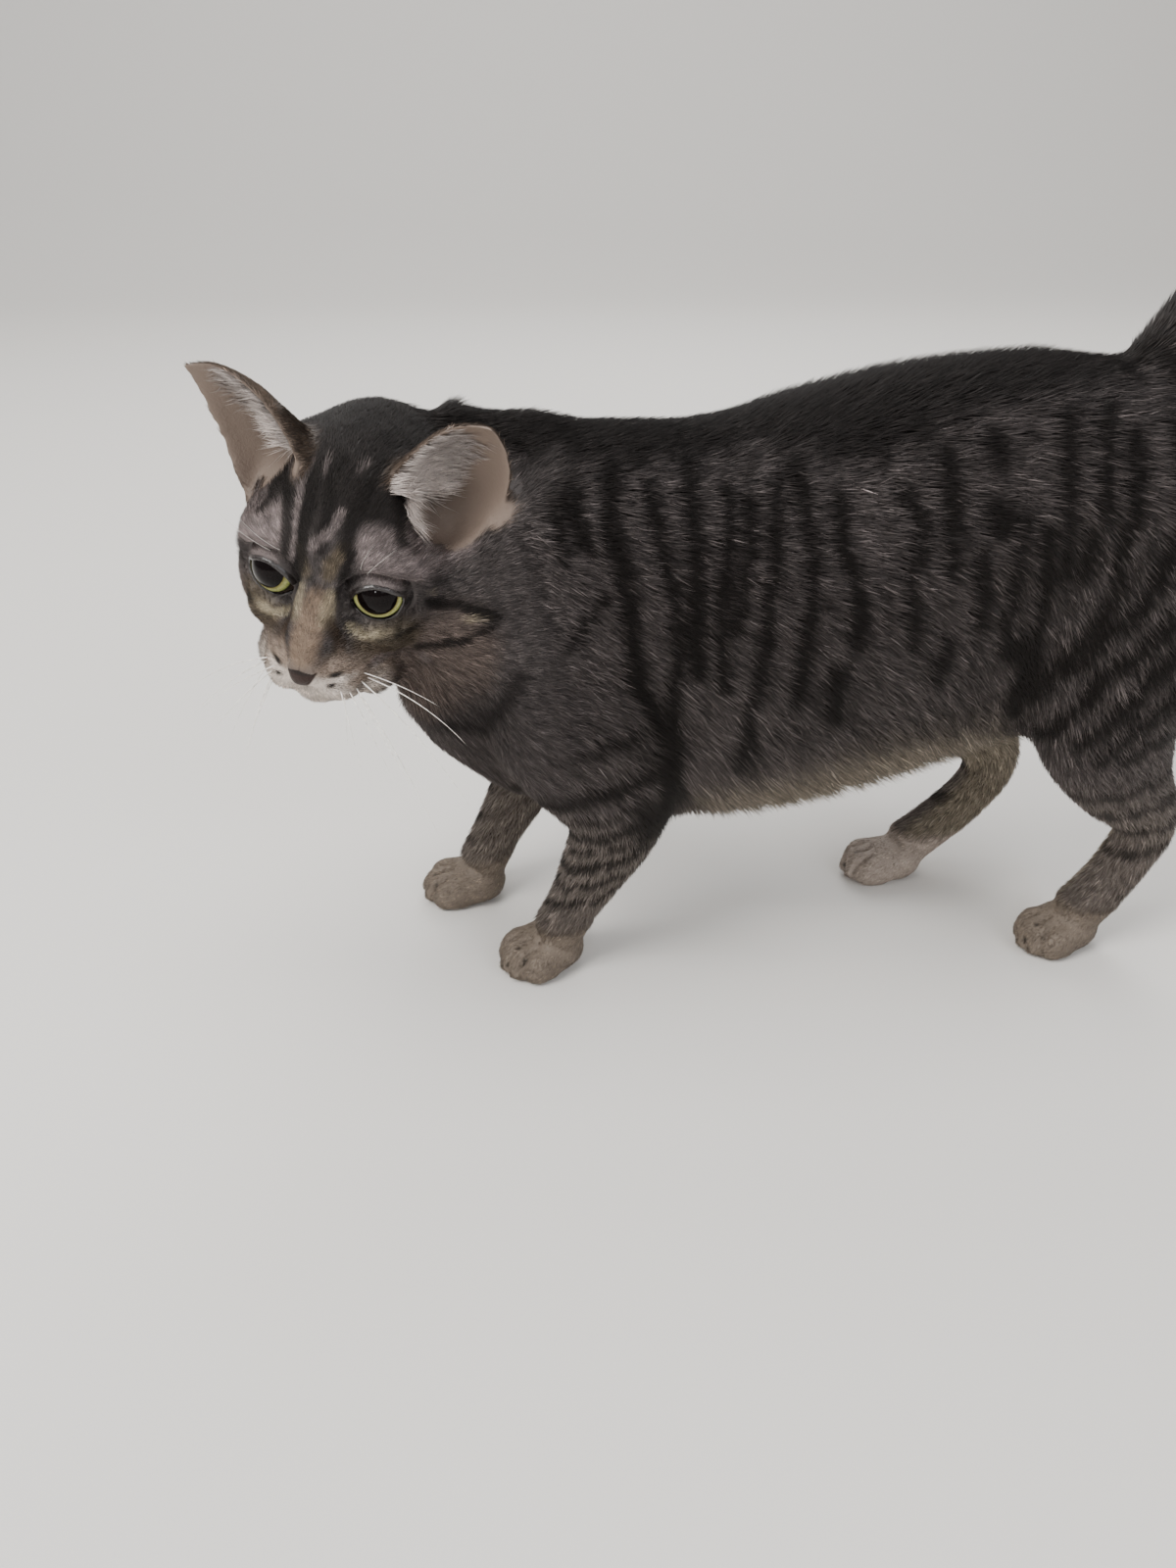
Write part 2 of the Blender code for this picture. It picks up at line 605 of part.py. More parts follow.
def settle(parts):
    """Moves the parts so that the middle of the cat's footprint on the floor is the origin."""
    points = [vertex.co for obj in parts for vertex in obj.data.vertices]
    low = Vector([min(p[i] for p in points) for i in range(3)])
    high = Vector([max(p[i] for p in points) for i in range(3)])
    shift = Matrix.Translation((-(low.x + high.x) / 2, -(low.y + high.y) / 2, -low.z))
    for obj in parts:
        obj.data.transform(shift)


def paint(obj):
    """One Principled material for each part."""
    colour, roughness = COLOURS.get(obj.name, COAT)
    material = bpy.data.materials.new(obj.name)
    material.use_nodes = True
    shader = material.node_tree.nodes["Principled BSDF"]
    shader.inputs["Base Color"].default_value = (*colour, 1)
    shader.inputs["Roughness"].default_value = roughness
    obj.data.materials.clear()
    obj.data.materials.append(material)


def main():
    for obj in list(bpy.data.objects):
        bpy.data.objects.remove(obj)
    parts = named_parts(whole_form())
    settle(parts)
    for obj in parts:
        paint(obj)


main()
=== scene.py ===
"""Dresses the standing tabby cat: one skin over the solids, a coat of fine tufts, eyes and whiskers."""
import math

import bmesh
import bpy
import numpy as np
from mathutils import Matrix, Vector
from mathutils.bvhtree import BVHTree


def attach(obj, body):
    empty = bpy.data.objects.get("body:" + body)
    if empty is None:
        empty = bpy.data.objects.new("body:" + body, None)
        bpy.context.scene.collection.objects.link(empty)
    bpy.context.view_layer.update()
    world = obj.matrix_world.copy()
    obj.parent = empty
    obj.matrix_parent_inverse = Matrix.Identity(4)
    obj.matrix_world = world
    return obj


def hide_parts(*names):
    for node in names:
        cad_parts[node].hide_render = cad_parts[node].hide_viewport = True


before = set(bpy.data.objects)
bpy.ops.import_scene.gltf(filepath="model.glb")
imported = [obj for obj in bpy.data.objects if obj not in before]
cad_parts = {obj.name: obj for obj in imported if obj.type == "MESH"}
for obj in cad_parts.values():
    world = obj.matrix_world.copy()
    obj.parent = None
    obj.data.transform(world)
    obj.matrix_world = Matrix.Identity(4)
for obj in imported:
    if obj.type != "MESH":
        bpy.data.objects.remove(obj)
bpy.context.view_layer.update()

MM = 0.001
SKIN_VOXEL = 1.5 * MM  # grid that joins the parts into one skin
SKIN_TRIANGLES = 120000
CLOSE_CUTS = 0.4 * MM  # each part grows by this, so the thin cuts between parts close
RNG = np.random.default_rng(7)


def turned(degrees, axis):
    return Matrix.Rotation(math.radians(degrees), 4, axis)


# The head stands at the middle between the pupils: +X out of the face, +Y to the cat's left, +Z to the crown.
HEAD_TURN = turned(-19.5, "Z") @ turned(19.0, "Y") @ turned(-11.0, "X")
HEAD = Matrix.Translation((0.0461, -0.2292, 0.191)) @ HEAD_TURN
EYE_RADIUS = 11.1 * MM
INNER_CORNER, OUTER_CORNER = math.radians(197), math.radians(8)  # where the lids run to a point
EYE_CENTRE = (-10.7 * MM, 20.0 * MM, -1.3 * MM)
EYE_TURN = 12.0  # degrees that each eye looks out to its own side
EYE_SLANT = 6.0  # degrees that the outer corner stands higher
EYE_DIP = 1.0  # degrees that the lids open downwards
LID_POWER = 1.8  # how square the opening of the lids is: 2 is an oval
EAR_ROOTS = {
    "ear_left": ((-0.0320, 0.0316, 0.0160), (-0.15, 0.55, 0.80), (0.947, 0.235, 0.016)),
    "ear_right": ((-0.0330, -0.0325, 0.0230), (-0.16, -0.68, 0.70), (0.93, -0.33, 0.00)),
}
EAR_WIDTH = 43 * MM
# Each ear's outline: length, how late it narrows, how pointed its tip is, lean towards the crown, how late it
# leans, and how far the tip itself hooks back.
EAR_OUTLINES = {
    "ear_left": (0.053, 3.0, 0.55, -0.007, 2.0, 0.0),
    "ear_right": (0.050, 2.2, 0.66, 0.008, 1.2, 1.0),
}
EYES = ("eye_left", "eye_right")

# Lines that the coat runs along, from the body outwards, in mm.
LIMB_LINES = {
    "foreleg_left": ((36, -127, 170), (44, -133, 135), (47, -119, 105), (45, -115, 83), (39, -124, 56),
                     (34, -133, 34), (30, -142, 12)),
    "foreleg_right": ((-36, -137, 170), (-44, -149, 135), (-46, -141, 105), (-43, -141, 83), (-37, -154, 56),
                      (-32, -167, 34), (-29, -178, 12)),
    "hindleg_left": ((36, 101, 190), (45, 97, 155), (48, 93, 125), (45, 107, 96), (41, 126, 72),
                     (38, 122, 48), (35, 112, 26), (33, 105, 8)),
    "hindleg_right": ((-36, 85, 188), (-45, 69, 150), (-48, 51, 118), (-45, 63, 90), (-41, 87, 66),
                      (-38, 77, 43), (-35, 55, 24), (-33, 42, 8)),
    "tail": ((0, 95, 230), (0, 124, 280), (1, 145, 314), (3, 167, 352), (6, 191, 390), (10, 217, 424),
             (15, 246, 449), (21, 275, 464)),
}
LIMB_LINES = {limb: np.array(line) / 1000 for limb, line in LIMB_LINES.items()}
PAWS = {  # middle of each paw on the floor (m), and how far its toes turn out (degrees)
    "forepaw_left": ((0.0301, -0.1454), 34.0), "forepaw_right": ((-0.0289, -0.1814), 8.0),
    "hindpaw_left": ((0.0341, 0.1006), 22.0), "hindpaw_right": ((-0.0319, 0.0346), 8.0),
}

# Coat by part: depth of the skin below the tips, tuft length, width and rise above the skin (mm), and
# tufts per mm2.
COATS = {
    "head": (1.2, 5.4, 0.54, 1.2, 1.5),
    "ear": (0.45, 3.0, 0.42, 0.5, 4.0),
    "neck": (2.7, 9.0, 0.75, 2.7, 1.4),
    "trunk": (2.9, 9.0, 0.85, 2.9, 1.3),
    "thigh": (2.6, 8.5, 0.85, 2.5, 1.3),
    "shank": (1.6, 5.5, 0.75, 1.6, 1.8),
    "foreleg": (1.8, 6.0, 0.75, 1.8, 1.8),
    "paw": (0.7, 2.3, 0.45, 0.45, 3.2),
    "tail": (3.0, 10.0, 0.90, 3.0, 1.2),
    "nose": (0.3, 1.6, 0.35, 0.3, 1.5),
}
KINDS = list(COATS)


def coat_kind(node):
    family = node.split("_")[0]
    return KINDS.index("paw" if family in ("forepaw", "hindpaw") else family)


# ---------------------------------------------------------------- small helpers

def new_object(name, mesh):
    obj = bpy.data.objects.new(name, mesh)
    bpy.context.scene.collection.objects.link(obj)
    return obj


def only(obj):
    bpy.ops.object.select_all(action="DESELECT")
    obj.select_set(True)
    bpy.context.view_layer.objects.active = obj


def apply_modifier(obj, kind, **settings):
    modifier = obj.modifiers.new(kind.lower(), kind)
    for key, value in settings.items():
        setattr(modifier, key, value)
    only(obj)
    bpy.ops.object.modifier_apply(modifier=modifier.name)


def edit_whole(obj, *tools):
    """Runs edit tools on all of one object's mesh."""
    only(obj)
    bpy.ops.object.mode_set(mode="EDIT")
    bpy.ops.mesh.select_all(action="SELECT")
    for tool in tools:
        tool()
    bpy.ops.object.mode_set(mode="OBJECT")


def read(items, key, width, kind=float):
    """One property of all the items of a mesh, a row for each item."""
    flat = np.empty(width * len(items), dtype=kind)
    items.foreach_get(key, flat)
    return flat.reshape(-1, width)


def points_of(mesh):
    return read(mesh.vertices, "co", 3)


def normals_of(mesh):
    return read(mesh.vertex_normals, "vector", 3)


def edges_of(mesh):
    return read(mesh.edges, "vertices", 2, np.int64)


def primitive(name, tool, **settings):
    """Adds one of the ready shapes under a name. Gives the object and its mesh."""
    bpy.ops.object.select_all(action="DESELECT")
    tool(**settings)
    obj = bpy.context.object
    obj.name = obj.data.name = name
    return obj, obj.data


def dress(mesh, material):
    mesh.shade_smooth()
    mesh.materials.clear()
    mesh.materials.append(material)


def put_points(mesh, points):
    mesh.vertices.foreach_set("co", np.ascontiguousarray(points, dtype=np.float32).ravel())
    mesh.update()


def unit(vectors):
    return vectors / np.maximum(np.linalg.norm(vectors, axis=-1, keepdims=True), 1e-12)


def smoothstep(value, low, high):
    t = np.clip((value - low) / (high - low), 0.0, 1.0)
    return t * t * (3 - 2 * t)


def fade(value, low, high):
    return 1 - smoothstep(value, low, high)


def bell(value, width):
    return np.exp(-((value / width) ** 2))


def lengths(vectors):
    return np.linalg.norm(vectors, axis=1)


def neighbour_mean(edges, values):
    count = np.bincount(edges.ravel(), minlength=len(values))
    columns = values.reshape(len(values), -1)
    out = np.empty_like(columns)
    for k in range(columns.shape[1]):
        c = columns[:, k]
        total = np.bincount(edges[:, 0], weights=c[edges[:, 1]], minlength=len(values))
        total += np.bincount(edges[:, 1], weights=c[edges[:, 0]], minlength=len(values))
        out[:, k] = total / np.maximum(count, 1)
    return out.reshape(values.shape)


def evened(edges, values, rounds, share=0.5):
    weight = share if np.ndim(share) == 0 else share.reshape(-1, *([1] * (values.ndim - 1)))
    for _ in range(rounds):
        values = values + weight * (neighbour_mean(edges, values) - values)
    return values


def from_axes(points, axes):
    m = np.array(axes)
    return points @ m[:3, :3].T + m[:3, 3]


def to_axes(points, axes):
    return from_axes(points, axes.inverted())


def to_head(points):
    return to_axes(points, HEAD)


def directions_from(vectors, axes):
    return vectors @ np.array(axes)[:3, :3].T


def stretches(points, line):
    """For each stretch of a line: its span, and how far along it (0 to 1) and away from it the points lie."""
    keys = np.array(line, dtype=float)
    for a, b in zip(keys[:-1], keys[1:]):
        span = b - a
        t = np.clip(((points - a) @ span) / (span @ span), 0, 1)
        yield span, t, lengths(points - a - t[:, None] * span)


def gap_to_line(points, line):
    """Distance from every point to a line of keys."""
    return np.minimum.reduce([gap for _, _, gap in stretches(points, line)])


def mirrored(line):
    return [(x, -y, z) for x, y, z in line]


def waves(points, scale, seed, octaves=3):
    """Smooth random waves through space, about -1 to 1."""
    rng = np.random.default_rng(seed)
    total = np.zeros(len(points))
    for octave in range(octaves):
        for _ in range(5):
            axis = rng.normal(size=3)
            axis *= 2 * math.pi / (np.linalg.norm(axis) * scale / 1.9**octave) * rng.uniform(0.7, 1.4)
            total += np.sin(points @ axis + rng.uniform(0, 2 * math.pi)) / 1.7**octave
    return total / 3.4


# ---------------------------------------------------------------- skin

FLESH = [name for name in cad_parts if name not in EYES]


def node_faces(name):
    """A CAD node as a merged bmesh."""
    bm = bmesh.new()
    bm.from_mesh(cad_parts[name].data)
    bmesh.ops.remove_doubles(bm, verts=bm.verts, dist=1e-6)
    bm.normal_update()
    return bm


def part_finder():
    """Finds the node that lies nearest to a point."""
    verts, faces, owner = [], [], []
    for index, name in enumerate(FLESH):
        bm = node_faces(name)
        base = len(verts)
        verts += [v.co.copy() for v in bm.verts]
        for face in bm.faces:
            faces.append([base + v.index for v in face.verts])
            owner.append(index)
        bm.free()
    return BVHTree.FromPolygons(verts, faces), owner


def joined_parts():
    """All nodes, slightly grown, in one object."""
    joined = bmesh.new()
    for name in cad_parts:
        bm = node_faces(name)
        for vertex in bm.verts:
            vertex.co += vertex.normal * CLOSE_CUTS
        mesh = bpy.data.meshes.new("grown")
        bm.to_mesh(mesh)
        bm.free()
        joined.from_mesh(mesh)
        bpy.data.meshes.remove(mesh)
    mesh = bpy.data.meshes.new("skin")
    joined.to_mesh(mesh)
    joined.free()
    return new_object("skin", mesh)


def make_skin():
    skin = joined_parts()
    apply_modifier(skin, "REMESH", mode="VOXEL", voxel_size=SKIN_VOXEL)
    mesh = skin.data
    points = points_of(mesh)
    local = to_head(points)
    fine = fade(lengths(local), 0.070, 0.110)  # the head keeps more detail
    fine = np.maximum(fine, fade(points[:, 2], 0.020, 0.034))  # and so do the paws
    edges = edges_of(mesh)
    put_points(mesh, evened(edges, evened(edges, points, 2), 18, 0.5 * (1 - fine) + 0.10 * fine))
    group = skin.vertex_groups.new(name="keep")
    for weight, chosen in ((0.0, fine > 0.3), (1.0, fine <= 0.3)):
        group.add([int(index) for index in np.nonzero(chosen)[0]], weight, "REPLACE")
    triangles = 2 * len(mesh.polygons)
    apply_modifier(skin, "DECIMATE", ratio=SKIN_TRIANGLES / triangles, vertex_group="keep",
                   vertex_group_factor=0.00002)
    edit_whole(skin, bpy.ops.mesh.quads_convert_to_tris, bpy.ops.mesh.normals_make_consistent)
    return skin


def subdivide_near(skin, centre, reach):
    """Halves the edges of the skin within reach of a point in head axes."""
    mesh = skin.data
    close = lengths(to_head(points_of(mesh)) - np.array(centre)) < reach
    only(skin)
    bpy.ops.object.mode_set(mode="EDIT")
    bpy.ops.mesh.select_mode(type="VERT")
    bpy.ops.mesh.select_all(action="DESELECT")
    bpy.ops.object.mode_set(mode="OBJECT")
    mesh.vertices.foreach_set("select", close)
    bpy.ops.object.mode_set(mode="EDIT")
    bpy.ops.mesh.select_mode(type="FACE")
    bpy.ops.mesh.subdivide(number_cuts=1, smoothness=0)
    bpy.ops.mesh.select_all(action="SELECT")
    bpy.ops.mesh.quads_convert_to_tris()
    bpy.ops.object.mode_set(mode="OBJECT")


skin = make_skin()
for side in (-1, 1):
    subdivide_near(skin, (EYE_CENTRE[0], side * EYE_CENTRE[1], EYE_CENTRE[2]), 0.017)
subdivide_near(skin, (0.020, 0.0, -0.028), 0.018)
subdivide_near(skin, (0.024, 0.0, -0.026), 0.011)

finder, owner = part_finder()
points = points_of(skin.data)
edges = edges_of(skin.data)
part_of = np.array([owner[finder.find_nearest(Vector(p))[2]] for p in points])
kind_of = np.array([coat_kind(name) for name in FLESH])[part_of]


def ear_axes(name):
    """Ear axes: +Z from root to tip, +X the way the ear opens."""
    root, up, opening = (Vector(v) for v in EAR_ROOTS[name])
    up.normalize()
    opening = (opening - opening.dot(up) * up).normalized()
    axes = Matrix((opening, up.cross(opening), up)).transposed().to_4x4()
    return HEAD @ Matrix.Translation(root) @ axes


def ear_sheet(name):
    """The middle of the ear's cartilage as a surface, with the outward normals of its faces."""
    axes = ear_axes(name)
    length, late, point, lean, lean_late, hook = EAR_OUTLINES[name]
    rows, columns = 20, 24
    verts, faces, outward = [], [], []
    for r in range(rows + 1):
        v = r / rows
        half_width = EAR_WIDTH / 2 * (1 - v**late) ** point + 0.0012
        middle = lean * v**lean_late * (1 - hook * v**9)
        wrap = math.radians(112 - 58 * v)
        radius = half_width / math.sin(min(wrap, math.pi / 2))
        for c in range(columns + 1):
            a = wrap * (2 * c / columns - 1)
            x = 0.8 * radius * (0.62 * math.cos(wrap) - math.cos(a)) - 0.003 * math.sin(math.pi * v) + 0.003
            z = length * v * (1 - 0.07 * (a / wrap) ** 2) - 0.010 * (1 - v)
            verts.append(axes @ Vector((x, radius * math.sin(a) + middle, z)))
            outward.append((axes.to_3x3() @ Vector((-math.cos(a), math.sin(a), 0.0))).normalized())
    for r in range(rows):
        for c in range(columns):
            k = r * (columns + 1) + c
            faces.append((k, k + 1, k + columns + 2, k + columns + 1))
    return BVHTree.FromPolygons(verts, faces), [outward[face[0]] for face in faces]


def ear_sides(points, out):
    """How far each point is on the inside, and on the back, of an ear."""
    inside, back = np.zeros(len(points)), np.zeros(len(points))
    for name in EAR_ROOTS:
        local = to_axes(points, ear_axes(name))
        close = np.nonzero(lengths(local - (0, 0, 0.025)) < 0.045)[0]
        tree, outward = ear_sheet(name)
        for index in close:
            hit, _, face, gap = tree.find_nearest(Vector(points[index]))
            if gap > 0.0034:
                continue
            side = float(np.dot(outward[face], points[index] - np.array(hit)))
            if side > 0 and np.dot(outward[face], out[index]) > -0.2:
                back[index] = 1
            else:
                inside[index] = 1
        x, y, z = local.T
        hollow = (((x + 0.004) / 0.0140) ** 2 + (y / 0.0180) ** 2 + ((z - 0.010) / 0.0225) ** 2) < 1.0
        opening = out @ np.array(ear_axes(name))[:3, 0] > -0.35
        hollow &= (z > -0.0095) & opening & (back < 0.5)
        inside[hollow] = 1
    return inside, back


ear_inside, ear_back = ear_sides(points, normals_of(skin.data))
for name in EAR_ROOTS:  # what is not ear in the ear's node belongs to the head or the neck
    other = (part_of == FLESH.index(name)) & (ear_inside + ear_back < 0.5)
    kind_of[other] = KINDS.index("head")
kind_of[(ear_inside + ear_back) > 0.5] = KINDS.index("ear")
ear_inside, ear_back = evened(edges, ear_inside, 2), evened(edges, ear_back, 2)
coat_values = evened(edges, np.array(list(COATS.values()))[kind_of], 8)
depth = coat_values[:, 0] * MM


# Where the coat lies closer over the nape and the crown: place and reach, and how much deeper the skin
# sits (mm).
NAPE_SINKS = (((-0.019, -0.169, 0.247), 0.0125, 5.8), ((-0.006, -0.212, 0.250), 0.022, 2.0))


def chest_and_belly(points, normals):
    """How far a point belongs to the longer coat of the belly, and of the chest and throat."""
    down = smoothstep(-normals[:, 2], 0.15, 0.75)
    trunk = smoothstep(points[:, 1], -0.15, -0.10) * smoothstep(points[:, 2], 0.060, 0.075)
    belly = down * trunk * fade(points[:, 2], 0.13, 0.16) * fade(points[:, 1], 0.10, 0.14)
    throat = smoothstep(-normals[:, 1] - 0.4 * normals[:, 2], 0.2, 0.8)
    throat *= smoothstep(points[:, 2], 0.075, 0.095)
    throat *= fade(points[:, 1], -0.13, -0.10)
    return belly, throat


normals = normals_of(skin.data)
is_trunk = evened(edges, (np.isin(kind_of, [KINDS.index(k) for k in ("trunk", "neck")])).astype(float), 8)
belly, throat = chest_and_belly(points, normals)
belly, throat = evened(edges, belly * is_trunk, 12), evened(edges, throat * is_trunk, 12)
depth += belly * 3.0 * MM + throat * 1.2 * MM
local = to_head(points)
face = fade(lengths(local - np.array((0.0, 0.0, -0.012))), 0.030, 0.052)
depth *= 1 - 0.35 * face
for place, reach, more in NAPE_SINKS:
    depth += more * MM * bell(lengths(points - place), reach)
depth = evened(edges, depth, 4)
points = evened(edges, points - normals * depth[:, None], 3, 0.35 * (1 - face))
put_points(skin.data, points)


# ---------------------------------------------------------------- lids, nose, mouth and toes

def eye_axes(side):
    """Eye axes: +X out of the pupil, +Z up, turned out to its side and slanted."""
    centre = (EYE_CENTRE[0], side * EYE_CENTRE[1], EYE_CENTRE[2])
    turn = turned(side * EYE_TURN, "Z") @ turned(EYE_DIP, "Y") @ turned(side * EYE_SLANT, "X")
    return HEAD @ Matrix.Translation(centre) @ turn


def angle_between(angle, other):
    return np.angle(np.exp(1j * (angle - other)))


def eye_opening(angle):
    """Distance from the middle of the eye to the edge of its lids; angle 0 is the outer corner."""
    half_height = np.where(np.sin(angle) > 0, 7.9 * MM, 8.9 * MM)
    across, up = np.abs(np.cos(angle)) / (9.7 * MM), np.abs(np.sin(angle)) / half_height
    edge = (across**LID_POWER + up**LID_POWER) ** (-1 / LID_POWER)
    inner, outer = angle_between(angle, INNER_CORNER), angle_between(angle, OUTER_CORNER)
    return edge + 2.2 * MM * bell(inner, 0.26) + 0.8 * MM * bell(outer, 0.22)


def round_the_eye(points, side):
    """Places in eye axes, and distance from the pupil's middle as a share of the opening."""
    local = to_axes(points, eye_axes(side))
    across, up = side * local[:, 1], local[:, 2]
    return local, np.hypot(across, up) / eye_opening(np.arctan2(up, across))


def shape_lids(points, side):
    local, share = round_the_eye(points, side)
    reach = lengths(local)
    near = (local[:, 0] > 0) & (reach < 0.021) & (share < 1.9)
    lid = EYE_RADIUS + (0.45 + 0.75 * smoothstep(share, 1.0, 1.3)) * MM
    keep = np.maximum(smoothstep(share, 1.30, 1.85), smoothstep(reach, 0.0140, 0.0200))
    goal = np.where(share < 1, EYE_RADIUS - 0.9 * MM, reach * keep + lid * (1 - keep))
    snapped = np.where((share > 0.84) & (share < 1), 0.998, share)
    snapped = np.where((share >= 1) & (share < 1.14), 1.004, snapped)
    local_new = local.copy()
    local_new[:, 1:] *= (snapped / np.maximum(share, 1e-6))[:, None]
    side_reach = np.minimum(lengths(local_new[:, 1:]), goal * 0.999)
    local_new[:, 0] = np.sqrt(goal**2 - side_reach**2)
    points[near] = from_axes(local_new, eye_axes(side))[near]


# Grooves in the skin of the face: points in head axes, half width and depth in mm, and mirrored or not.
GROOVES = {
    "nostrils": (((25.5, 3.4, -26.0), (24.5, 5.2, -25.0), (22.5, 6.4, -23.6)), 0.95, 1.9, True),
    "cleft of the lip": (((26, 0, -25), (25.5, 0, -29), (24, 0, -33)), 0.7, 0.8, False),
    "mouth": (((23, 0, -35), (20, 5, -37.5), (12, 12, -39.5), (2, 18, -38)), 0.9, 1.6, True),
    "beside the nose": (((22, 8.0, -21), (18, 9.5, -20), (12, 10.5, -17)), 2.2, 0.9, True),
}


def carve(points, out, line, width, depth, both):
    """Presses a groove into the skin along a line in head axes (mm)."""
    local = to_head(points) * 1000
    gap = gap_to_line(local, line)
    if both:
        gap = np.minimum(gap, gap_to_line(local, mirrored(line)))
    return points - out * (depth * MM * bell(gap, width))[:, None]


def toe_gaps(points):
    """1 in the clefts between the toes, 0 away from them."""
    clefts = np.zeros(len(points))
    for (x, y), toes_turn in PAWS.values():
        axes = Matrix.Translation((x, y, 0)) @ turned(toes_turn, "Z")
        local = to_axes(points, axes) * 1000
        mine = (np.abs(local[:, 0]) < 20) & (np.abs(local[:, 1]) < 26) & (local[:, 2] < 24)
        for across in (-7.0, 0.0, 7.0):
            lean = across * 0.12
            line = ((across + lean, -24, 2), (across + lean * 0.5, -21, 8), (across, -15, 14.5),
                    (across * 0.9, -9, 17.5))
            clefts = np.maximum(clefts, mine * bell(gap_to_line(local, line), 1.25))
    return clefts


def shape_face_and_toes(points):
    out = normals_of(skin.data)
    for line, width, depth, both in GROOVES.values():
        points = carve(points, out, line, width, depth, both)
    points = points - out * (toe_gaps(points) * 2.4 * MM)[:, None]
    for side in (-1, 1):
        shape_lids(points, side)
    return points


# ---------------------------------------------------------------- lie of the coat

def along_line(points, line):
    """Direction of the nearest stretch of a line, and how far along it (0 to 1) the points lie."""
    best = np.full(len(points), 1e9)
    direction, share = np.zeros_like(points), np.zeros(len(points))
    for k, (span, t, gap) in enumerate(stretches(points, line)):
        closer = gap < best
        best[closer] = gap[closer]
        direction[closer] = span / np.linalg.norm(span)
        share[closer] = (k + t[closer]) / (len(line) - 1)
    return direction, share


def lie_of_coat(points, normals):
    """The way that the hairs point at every point of the skin."""
    lie = np.zeros_like(points)
    name_of = np.array(FLESH)[part_of]
    kind = np.array(KINDS)[kind_of]
    low = fade(points[:, 2], 0.10, 0.22)
    lie[:] = (0, 1, 0)
    trunk = kind == "trunk"
    lie[trunk, 2] = -0.25 - 0.75 * low[trunk]
    front = smoothstep(-normals[:, 1], 0.3, 0.8) * fade(points[:, 1], -0.16, -0.12)
    lie[trunk] += front[trunk, None] * np.array((0, -0.6, -1.6))
    neck = kind == "neck"
    lie[neck] = (0.0, 1.0, -0.35)
    throat_side = smoothstep(-normals[:, 2] - 0.6 * normals[:, 1], 0.0, 0.8)
    lie[neck] += throat_side[neck, None] * np.array((0.0, -0.5, -1.2))
    for node, line in LIMB_LINES.items():
        mine = np.array([n == node or (node == "tail" and n.startswith("tail")) or
                         (node.startswith("hindleg") and n in ("thigh" + node[7:], "shank" + node[7:]))
                         for n in name_of])
        lie[mine] = along_line(points[mine], line)[0]
        if node.startswith("hindleg"):
            thigh = mine & (kind == "thigh")
            lie[thigh] = unit(lie[thigh] + np.array((0, 0.75, -0.35)))
    for node, (_, toes_turn) in PAWS.items():
        a = math.radians(toes_turn)
        lie[name_of == node] = (math.sin(a), -math.cos(a), -0.45)
    head = np.isin(kind, ("head", "nose"))
    local = to_head(points)
    x, y, z = local[:, 0], local[:, 1], local[:, 2]
    face = smoothstep(x, -0.05, 0.0)
    flow = np.stack((-1.0 - 0 * x, (0.4 + 1.0 * face) * y / 0.030, 1.1 * smoothstep(z, -0.018, 0.012) * face
                     - 0.8 * smoothstep(-z, 0.018, 0.040)), axis=1)
    lie[head] = directions_from(unit(flow), HEAD)[head]
    for name in EAR_ROOTS:
        ear = (name_of == name) & (kind == "ear")
        lie[ear] = np.array(ear_axes(name))[:3, 2]
    lie = evened(edges, unit(lie), 10)
    for side in (-1, 1):
        local_eye, share = round_the_eye(points, side)
        away = local_eye.copy()
        away[:, 0] = 0
        pull = 1.3 * fade(share, 1.1, 1.9) * (local_eye[:, 0] > 0)
        lie += directions_from(unit(away), eye_axes(side)) * pull[:, None]
    lie = evened(edges, lie, 6)
    lie -= np.sum(lie * normals, axis=1, keepdims=True) * normals
    return unit(lie)


points = shape_face_and_toes(points)
points[:, 2] = np.maximum(points[:, 2], 0.0)
put_points(skin.data, points)
normals = unit(evened(edges, normals_of(skin.data), 2))
lie = lie_of_coat(points, normals)


# ---------------------------------------------------------------- markings

GROUND = (0.084, 0.071, 0.068)
# The near-black of the stripes, also laid as painted shade in the nostrils and in the clefts between the
# toes.
STRIPE_AND_SHADE = (0.0095, 0.0070, 0.0058)
BELLY = (0.280, 0.238, 0.180)
PAW = (0.230, 0.185, 0.145)
PALE_PAW = (0.480, 0.400, 0.340)
LEG = (0.225, 0.190, 0.165)
INNER_LEG = (0.380, 0.325, 0.245)
TAN = (0.250, 0.180, 0.130)
OLIVE = (0.125, 0.098, 0.066)
CHEEK = (0.180, 0.138, 0.118)
BROWN = (0.060, 0.038, 0.024)
LILAC = (0.265, 0.218, 0.210)
PAD = (0.370, 0.285, 0.225)
CREAM = (0.500, 0.425, 0.290)
WHITE = (0.820, 0.720, 0.640)
EAR_BACK = (0.060, 0.040, 0.027)
EAR_INSIDE = (0.270, 0.205, 0.165)
EAR_HAIR = (0.740, 0.650, 0.600)
NOSE_LEATHER = (0.036, 0.018, 0.014)

